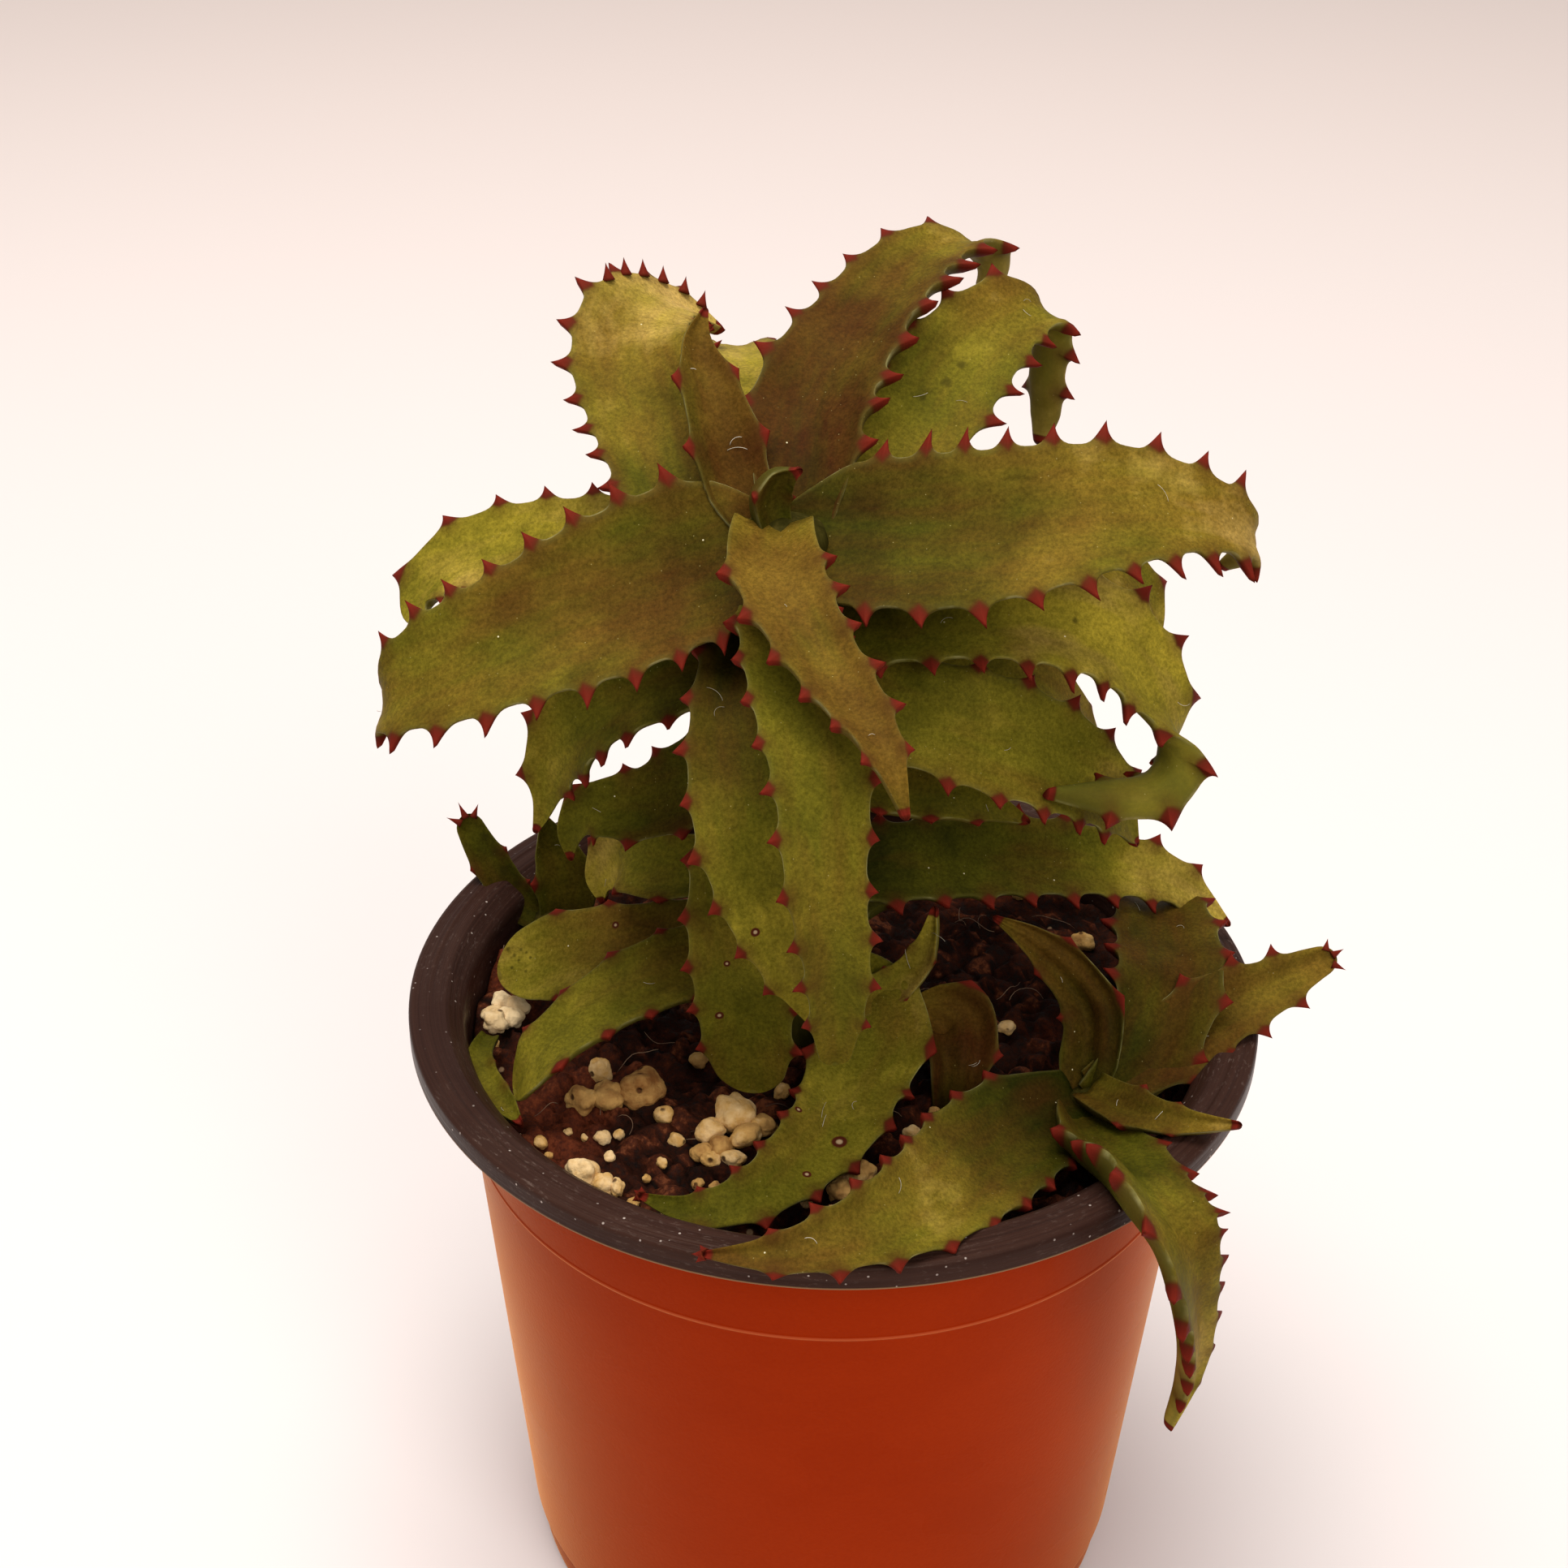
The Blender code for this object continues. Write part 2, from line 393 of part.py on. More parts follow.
def leaf_frame(route, faces, fractions):
    """Centre, direction, side, face normal and width at fractions of a leaf's length."""
    route = np.asarray(route, float)
    at, knots = smooth_route(route[:, :3])
    fine = np.linspace(0.0, knots[-1], 400)
    run = at(fine)
    arc = np.concatenate([[0.0], np.cumsum(np.linalg.norm(np.diff(run, axis=0), axis=1))])
    where = np.interp(np.asarray(fractions) * arc[-1], arc, fine)
    centre = at(where)
    step = knots[-1] * 0.001
    direction = unit(at(np.minimum(where + step, knots[-1])) - at(np.maximum(where - step, 0.0)))
    looks = unit(np.asarray(faces, float))
    spots = np.linspace(0.0, 1.0, len(looks))
    look = np.stack([np.interp(fractions, spots, looks[:, k]) for k in range(3)], axis=1)
    normal = unit(look - np.sum(look * direction, axis=1, keepdims=True) * direction)
    side = np.cross(direction, normal)
    width = np.interp(where, knots, route[:, 3])
    return centre, direction, side, normal, width, arc[-1]


def leaf_stations(length, pitch, grow=0.0):
    """Stations along a leaf as (fraction, tooth share): three for each pair of teeth."""
    first = min(FIRST_TOOTH, 0.3 * length)
    stations = [(0.0, 0.0), (0.5 * first / length, 0.0)]
    teeth = max(1, int((length - first - 0.6 * pitch) / pitch))
    spacing = (length - first - 0.55 * pitch) / teeth
    for k in range(teeth):
        middle = first + (k + 0.35) * spacing
        half = TOOTH_HALF_BASE * spacing + grow
        stations += [((middle - half) / length, 0.1), (middle / length, 1.0), ((middle + half) / length, 0.1)]
    return np.array(stations)


def leaf_solid(leaf, finish=None, grow=0.0):
    """One leaf: six points round each station, a point at the tip and a flat root.

    The section is a shallow channel above and a keel below: margin, channel, margin, then
    the far lower margin, the keel and the near lower margin. Teeth push both points of a
    margin out and forward. With grow, all of it is that much fatter.
    """
    name, pitch, tooth_height, channel, route, faces = leaf
    length = leaf_frame(route, faces, np.array([0.0, 1.0]))[5]
    stations = leaf_stations(length, pitch, grow)
    share = stations[:, 0]
    centre, direction, side, normal, width, length = leaf_frame(route, faces, share)
    size = np.clip(width / 7.0, 0.45, 1.0)
    tooth = stations[:, 1] * tooth_height * size
    reach = width / 2.0 + tooth + grow
    hook = tooth * TOOTH_HOOK * (stations[:, 1] > 0.5)
    thick = TIP_THICKNESS + (LEAF_THICKNESS - TIP_THICKNESS) * (1.0 - share) ** 0.7
    thick = np.minimum(thick, 0.62 * width + 0.6)
    dip = channel * width
    edge = EDGE_THICKNESS / 2.0 + grow

    def ring_point(across, up, forward):
        return centre + side * across[:, None] + normal * up[:, None] + direction * forward[:, None]

    flat = np.zeros_like(reach)
    near_top = ring_point(-reach, flat + edge, hook)
    valley = ring_point(flat, grow - dip, flat)
    far_top = ring_point(reach, flat + edge, hook)
    far_low = ring_point(reach, flat - edge, hook)
    keel = ring_point(flat, -dip - thick - grow, flat)
    near_low = ring_point(-reach, flat - edge, hook)
    rings = np.stack([near_top, valley, far_top, far_low, keel, near_low], axis=1)
    tip_centre, tip_direction = (part[0] for part in leaf_frame(route, faces, np.array([1.0]))[:2])
    tip = tip_centre + tip_direction * (0.8 + grow)
    points = [*rings.reshape(-1, 3), tip]
    faces_out = []
    count = len(rings)
    for i in range(count - 1):
        a, b = 6 * i, 6 * (i + 1)
        # each diagonal runs from a margin to the middle of the next ring, alike on both faces
        for edge_of, middle in ((0, 1), (2, 1), (3, 4), (5, 4)):
            low = [a + edge_of, a + middle, b + middle]
            high = [a + edge_of, b + middle, b + edge_of]
            turned = edge_of in (2, 5)
            for tri in (low, high):
                faces_out.append(tri[::-1] if turned else tri)
        for k, m in ((2, 3), (5, 0)):
            faces_out += [[a + k, a + m, b + m], [a + k, b + m, b + k]]
    last = 6 * (count - 1)
    for k in range(6):
        faces_out.append([last + k, last + (k + 1) % 6, len(points) - 1])
    faces_out += [[0, 5, 1], [5, 4, 1], [4, 3, 1], [3, 2, 1]]
    return solid(name, points, faces_out, finish)


def tube(name, low_radius, high_radius, axis, finish=None, grow=0.0, sides=12):
    """A tapered stem along a smooth axis, with a low domed top."""
    at, knots = smooth_route(axis)
    count = 2 * len(axis)
    where = np.linspace(0.0, knots[-1], count)
    run = at(where)
    radii = np.linspace(low_radius, high_radius, count) + grow
    run[0, 2] -= grow
    run = np.vstack([run, run[-1] + (0, 0, 0.45 * high_radius + grow)])
    radii = np.append(radii, 0.55 * high_radius)
    turn = np.linspace(0.0, 2.0 * math.pi, sides, endpoint=False)
    points = []
    for middle, radius in zip(run, radii):
        for angle in turn:
            points.append(middle + (radius * math.cos(angle), radius * math.sin(angle), 0.0))
    faces = []
    for i in range(len(run) - 1):
        for k in range(sides):
            m = (k + 1) % sides
            a, b = i * sides, (i + 1) * sides
            faces.append([a + k, a + m, b + m, b + k])
    faces.append(list(range(sides))[::-1])
    faces.append([(len(run) - 1) * sides + k for k in range(sides)])
    return solid(name, points, faces, finish, smooth=True)


def wall_radius(height):
    """Outer radius of the pot's wall at a height over its foot."""
    rise = (height - FOOT_HEIGHT) / (POT_HEIGHT - RIM_THICKNESS - FOOT_HEIGHT)
    return WALL_FOOT_RADIUS + (WALL_TOP_RADIUS - WALL_FOOT_RADIUS) * rise


def make_pot():
    """The pot: a profile turned about the middle, then bored for the drain holes."""
    ring_height = POT_HEIGHT - SCRIBED_RING_DROP
    skirt_foot = POT_HEIGHT - RIM_SKIRT
    under_rim = POT_HEIGHT - RIM_THICKNESS
    outside = [
        (0.0, 0.0), (FOOT_RADIUS - 1.0, 0.0), (FOOT_RADIUS, 1.0), (FOOT_RADIUS, FOOT_HEIGHT),
        (WALL_FOOT_RADIUS, FOOT_HEIGHT + 0.8), (wall_radius(ring_height - 0.5), ring_height - 0.5),
        (wall_radius(ring_height) + SCRIBED_RING_PROUD, ring_height),
        (wall_radius(ring_height + 0.5), ring_height + 0.5), (WALL_TOP_RADIUS, under_rim),
        (RIM_RADIUS - 1.0, under_rim), (RIM_RADIUS - 1.0, skirt_foot), (RIM_RADIUS, skirt_foot),
        (RIM_RADIUS, POT_HEIGHT - 0.6), (RIM_RADIUS - 0.6, POT_HEIGHT),
    ]
    inside = [
        (RIM_INNER_RADIUS, POT_HEIGHT), (WALL_TOP_RADIUS - WALL, POT_HEIGHT - 2.5),
        (WALL_FOOT_RADIUS - WALL, FOOT_HEIGHT + 0.8), (FOOT_RADIUS - WALL, FOOT_HEIGHT),
        (FOOT_RADIUS - WALL, BASE_THICKNESS), (0.0, BASE_THICKNESS),
    ]
    profile = outside + inside
    shape = bmesh.new()
    corners = [shape.verts.new((r * MM, 0.0, z * MM)) for r, z in profile]
    rails = [shape.edges.new(pair) for pair in zip(corners, corners[1:])]
    bmesh.ops.spin(shape, geom=corners + rails, cent=(0, 0, 0), axis=(0, 0, 1),
                   angle=2.0 * math.pi, steps=POT_SIDES, use_merge=True)
    bmesh.ops.remove_doubles(shape, verts=shape.verts, dist=0.01 * MM)
    bmesh.ops.recalc_face_normals(shape, faces=shape.faces)
    mesh = bpy.data.meshes.new("pot")
    shape.to_mesh(mesh)
    shape.free()
    mesh.materials.append(material("pot_orange_plastic", (0.42, 0.055, 0.012), 0.42))
    pot = bpy.data.objects.new("pot", mesh)
    bpy.context.scene.collection.objects.link(pot)
    drills = bpy.data.collections.new("drain_hole_cutters")
    bpy.context.scene.collection.children.link(drills)
    for k in range(DRAIN_HOLES):
        angle = 2.0 * math.pi * (k + 0.5) / DRAIN_HOLES
        spot = (DRAIN_CIRCLE_RADIUS * math.cos(angle), DRAIN_CIRCLE_RADIUS * math.sin(angle))
        drill = tube("drain_hole_cutter", DRAIN_HOLE_RADIUS, DRAIN_HOLE_RADIUS,
                     [(*spot, -3.0), (*spot, 0.7), (*spot, 4.0)], sides=14)
        bpy.context.scene.collection.objects.unlink(drill)
        drills.objects.link(drill)
    boolean(pot, drills, "DIFFERENCE")
    pot.data.shade_smooth()
    pot.data.set_sharp_from_angle(angle=math.radians(35))
    return pot


def make_rim_cutter():
    """The upper wall and the rim, fatter by the gap, to keep what leans on them clear."""
    low = 60.0
    loop = [
        (wall_radius(low) - WALL - GAP, low), (WALL_TOP_RADIUS - WALL - GAP, POT_HEIGHT - 2.5),
        (RIM_INNER_RADIUS - GAP, POT_HEIGHT + GAP), (RIM_RADIUS + GAP, POT_HEIGHT + GAP),
        (RIM_RADIUS + GAP, POT_HEIGHT - RIM_SKIRT - GAP),
        (WALL_TOP_RADIUS + GAP, POT_HEIGHT - RIM_SKIRT - GAP),
        (wall_radius(low) + GAP, low),
    ]
    points = []
    for k in range(POT_SIDES):
        angle = 2.0 * math.pi * k / POT_SIDES
        points += [(r * math.cos(angle), r * math.sin(angle), z) for r, z in loop]
    faces = []
    count = len(loop)
    for k in range(POT_SIDES):
        a, b = k * count, (k + 1) % POT_SIDES * count
        for i in range(count):
            j = (i + 1) % count
            faces.append([a + i, a + j, b + j, b + i])
    return solid("rim_cutter", points, faces)


def soil_height(x, y):
    """Soil surface: a low mound with waves of a few lengths for the crumbs."""
    distance = np.hypot(x, y) / WALL_TOP_RADIUS
    crumbs = (np.sin(0.53 * x + 1.3) * np.cos(0.47 * y - 0.4) + 0.7 * np.sin(0.91 * x - 0.8 * y + 2.0)
              + 0.6 * np.cos(1.31 * y + 0.9 * x))
    return SOIL_EDGE_HEIGHT + SOIL_MOUND * (1.0 - distance ** 2) + SOIL_CRUMB * crumbs


def make_soil(name="soil", grow=0.0, finish=None):
    """Soil: rings of the crumbly top, then straight down inside the wall to the base."""
    turn = np.linspace(0.0, 2.0 * math.pi, SOIL_SIDES, endpoint=False)
    edge = wall_radius(SOIL_EDGE_HEIGHT) - WALL - GAP
    foot = FOOT_RADIUS - WALL - GAP
    points = [(0.0, 0.0, float(soil_height(0.0, 0.0)) + grow)]
    for radius in np.linspace(0.0, edge, SOIL_RINGS + 1)[1:]:
        for k, angle in enumerate(turn):
            x, y = radius * math.cos(angle), radius * math.sin(angle)
            points.append((x, y, float(soil_height(x, y)) + grow))
    lower = [(wall_radius(FOOT_HEIGHT + 1.6) - WALL - GAP, FOOT_HEIGHT + 1.6), (foot, FOOT_HEIGHT),
             (foot, BASE_THICKNESS + GAP)]
    for radius, height in lower:
        for angle in turn:
            points.append((radius * math.cos(angle), radius * math.sin(angle), height))
    faces = [[0, 1 + k, 1 + (k + 1) % SOIL_SIDES] for k in range(SOIL_SIDES)]
    rings = SOIL_RINGS + len(lower)
    for i in range(rings - 1):
        a, b = 1 + i * SOIL_SIDES, 1 + (i + 1) * SOIL_SIDES
        for k in range(SOIL_SIDES):
            m = (k + 1) % SOIL_SIDES
            faces.append([a + k, b + k, b + m, a + m])
    last = 1 + (rings - 1) * SOIL_SIDES
    faces.append([last + k for k in range(SOIL_SIDES)][::-1])
    return solid(name, points, faces, finish)


def make_pumice(name, grains):
    """A cluster of lumpy grains joined in one body; each is a squashed ball with slow waves."""
    rng = np.random.default_rng(len(name) * 7 + len(grains))
    others = bpy.data.collections.new(name + "_grains")
    bpy.context.scene.collection.children.link(others)
    first = None
    for x, y, radius in grains:
        shape = bmesh.new()
        bmesh.ops.create_icosphere(shape, subdivisions=1 if radius < 2.5 else 2, radius=1.0)
        phase = rng.uniform(0.0, 6.28, 3)
        squash = rng.uniform(0.78, 1.08, 3)
        points = np.array([v.co[:] for v in shape.verts])
        faces = [[v.index for v in f.verts] for f in shape.faces]
        shape.free()
        lump = 1.0 + GRAIN_LUMPS * np.sin(3.1 * points @ np.array([1.0, 0.6, -0.4]) + phase[0])
        lump += GRAIN_LUMPS * np.cos(2.7 * points @ np.array([-0.5, 1.0, 0.7]) + phase[1])
        height = float(soil_height(x, y)) + radius * squash[2] * (1.0 - 2.0 * GRAIN_SINK)
        points = points * lump[:, None] * squash * radius + (x, y, height)
        grain = solid(name, points, faces, material("pumice_cream", (0.62, 0.5, 0.33), 0.9))
        if first is None:
            first = grain
        else:
            bpy.context.scene.collection.objects.unlink(grain)
            others.objects.link(grain)
    boolean(first, others, "UNION", "MANIFOLD")
    keep_largest(first)
    first.name = name
    return first


def tree_of(item):
    """A search tree over an object's triangles, to find which pieces meet."""
    shape = bmesh.new()
    shape.from_mesh(item.data)
    bmesh.ops.triangulate(shape, faces=shape.faces)
    tree = BVHTree.FromBMesh(shape)
    shape.free()
    return tree


def boxes_meet(one, other, spare=0.5 * MM):
    a = np.array([v.co[:] for v in one.data.vertices])
    b = np.array([v.co[:] for v in other.data.vertices])
    return bool(np.all(a.min(0) - spare < b.max(0)) and np.all(b.min(0) - spare < a.max(0)))


def leaf_material(name):
    if name in LEAF_COLOURS:
        return material(name + "_skin", LEAF_COLOURS[name], 0.45)
    return material("leaf_green_skin", GREEN, 0.45)


def cut_where_they_meet(target, make_cutter):
    """Cut the target by a grown copy of a neighbour, if the two come within the gap."""
    cutter = make_cutter()
    if boxes_meet(target, cutter) and tree_of(target).overlap(tree_of(cutter)):
        boolean(target, cutter, "DIFFERENCE", "MANIFOLD")
        keep_largest(target)
        return True
    bpy.data.objects.remove(cutter, do_unlink=True)
    return False


def build():
    clear_scene()
    make_pot()
    soil = make_soil(finish=material("soil_brown", (0.035, 0.012, 0.006), 0.95))
    for name, low, high, axis in STEMS:
        tube(name, low, high, axis, material("stem_olive", (0.12, 0.13, 0.03), 0.6))
        boolean(soil, tube("stem_cutter", low, high, axis, grow=GAP), "DIFFERENCE", "MANIFOLD")
    # An earlier leaf keeps its form, and a later one gives way to it near the stem
    for index, leaf in enumerate(LEAVES):
        blade = leaf_solid(leaf, leaf_material(leaf[0]))
        for name, low, high, axis in STEMS:
            cut_where_they_meet(blade, lambda: tube("stem_cutter", low, high, axis, grow=GAP))
        for other in LEAVES[:index]:
            cut_where_they_meet(blade, lambda: leaf_solid(other, grow=CUT_GAP))
        cut_where_they_meet(blade, lambda: make_soil("soil_cutter", GAP))
        cut_where_they_meet(blade, make_rim_cutter)
    for name, grains in PUMICE:
        cluster = make_pumice(name, grains)
        cut_where_they_meet(cluster, lambda: make_soil("soil_cutter", GAP))
    keep_largest(soil)


build()
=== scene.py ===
"""The looks of a potted aloe: toothed leaves, pumice on crumbly soil, a two-coloured nursery pot.

Lengths are millimetres until a mesh is made; then metres, +Z up, origin at the pot's base.
"""
import json
import math
from collections import namedtuple

import bmesh
import bpy
import numpy as np
from mathutils import Matrix, Vector


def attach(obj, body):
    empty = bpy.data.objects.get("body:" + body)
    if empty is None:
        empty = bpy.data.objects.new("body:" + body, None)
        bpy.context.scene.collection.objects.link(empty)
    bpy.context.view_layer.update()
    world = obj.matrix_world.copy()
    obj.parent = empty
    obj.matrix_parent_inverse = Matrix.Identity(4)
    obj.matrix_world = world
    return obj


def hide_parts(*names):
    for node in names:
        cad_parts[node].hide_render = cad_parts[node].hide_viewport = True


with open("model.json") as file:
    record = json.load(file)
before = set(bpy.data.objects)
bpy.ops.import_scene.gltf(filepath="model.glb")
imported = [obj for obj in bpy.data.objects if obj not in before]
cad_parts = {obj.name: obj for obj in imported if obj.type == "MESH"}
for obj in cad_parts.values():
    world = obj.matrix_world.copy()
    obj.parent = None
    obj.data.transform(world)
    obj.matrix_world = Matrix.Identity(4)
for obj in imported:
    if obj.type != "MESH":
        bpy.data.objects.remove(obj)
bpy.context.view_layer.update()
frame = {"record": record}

MM = 0.001

# Pot and soil, as in the solids
POT_HEIGHT = 90.0
RIM_RADIUS = 55.0
RIM_INNER_RADIUS = 50.0
RIM_SKIRT = 3.2
RIM_THICKNESS = 1.2
WALL_TOP_RADIUS = 49.0
WALL_FOOT_RADIUS = 42.4
FOOT_RADIUS = 41.4
FOOT_HEIGHT = 5.0
WALL = 1.1
BASE_THICKNESS = 1.4
SCRIBED_RING_HEIGHT = 72.3
DRAIN_HOLES = 6
DRAIN_HOLE_RADIUS = 4.0
DRAIN_CIRCLE_RADIUS = 26.0
GAP = 0.3
SOIL_EDGE_HEIGHT = 82.6
SOIL_MOUND = 1.2
SOIL_CRUMB = 0.5
# Where the pot's dark layer starts: on the rim's skirt, and on the inside
DARK_RIM_FROM = POT_HEIGHT - RIM_SKIRT - 0.05
DARK_INSIDE_FROM = FOOT_HEIGHT + 2.0

# Leaves: shared proportions, as in the solids
LEAF_THICKNESS = 4.0
TIP_THICKNESS = 1.3
EDGE_THICKNESS = 0.7
TOOTH_SHARPNESS = 3.2       # how hollow the margin is between two teeth
TOOTH_VARIETY = 0.18        # how much taller or lower than the rest a tooth may be
TOOTH_LEAN_ROOT = 0.12      # how far a tooth leans to the tip, as a part of its height, at the root
TOOTH_LEAN_TIP = 0.50       # and at the tip
FIRST_TOOTH = 9.0
KEEL_FULLNESS = 0.62        # how full the lower face is near its margins: 1 is a plain curve
TIP_REACH = 0.8             # how far a leaf goes on past the last point of its route
HALF_ROUND = 16             # grid steps across one face of a leaf
LEAF_OFFSET = 100.0         # keeps the places along one leaf apart from the next leaf's
# Stations round each tooth, as parts of the pitch: close together on the tooth itself
TOOTH_STATIONS = np.array([-0.42, -0.32, -0.24, -0.18, -0.14, -0.105, -0.075, -0.045, -0.02,
                           0.0, 0.02, 0.045, 0.075, 0.105, 0.14, 0.18, 0.24, 0.32, 0.42])
TIP_STATIONS = np.array([1.7, 1.2, 0.8, 0.5, 0.25, 0.1, 0.03])

# Stems: name, radius at the foot and the top, and points along the axis
STEMS = [
    ("stem_main", 6.5, 5.0,
     [(-4, 0, 60), (-4, -1, 90), (-5, -3, 120), (-6.5, -5.5, 145), (-7, -7, 158)]),
    ("stem_pup_right", 4.6, 2.4, [(32, -18, 66), (32, -18, 77), (32.5, -18, 86.2)]),
    ("stem_pup_left", 4.2, 3.4, [(-36.5, 17.5, 66), (-37, 18, 76), (-38, 18.5, 86)]),
]

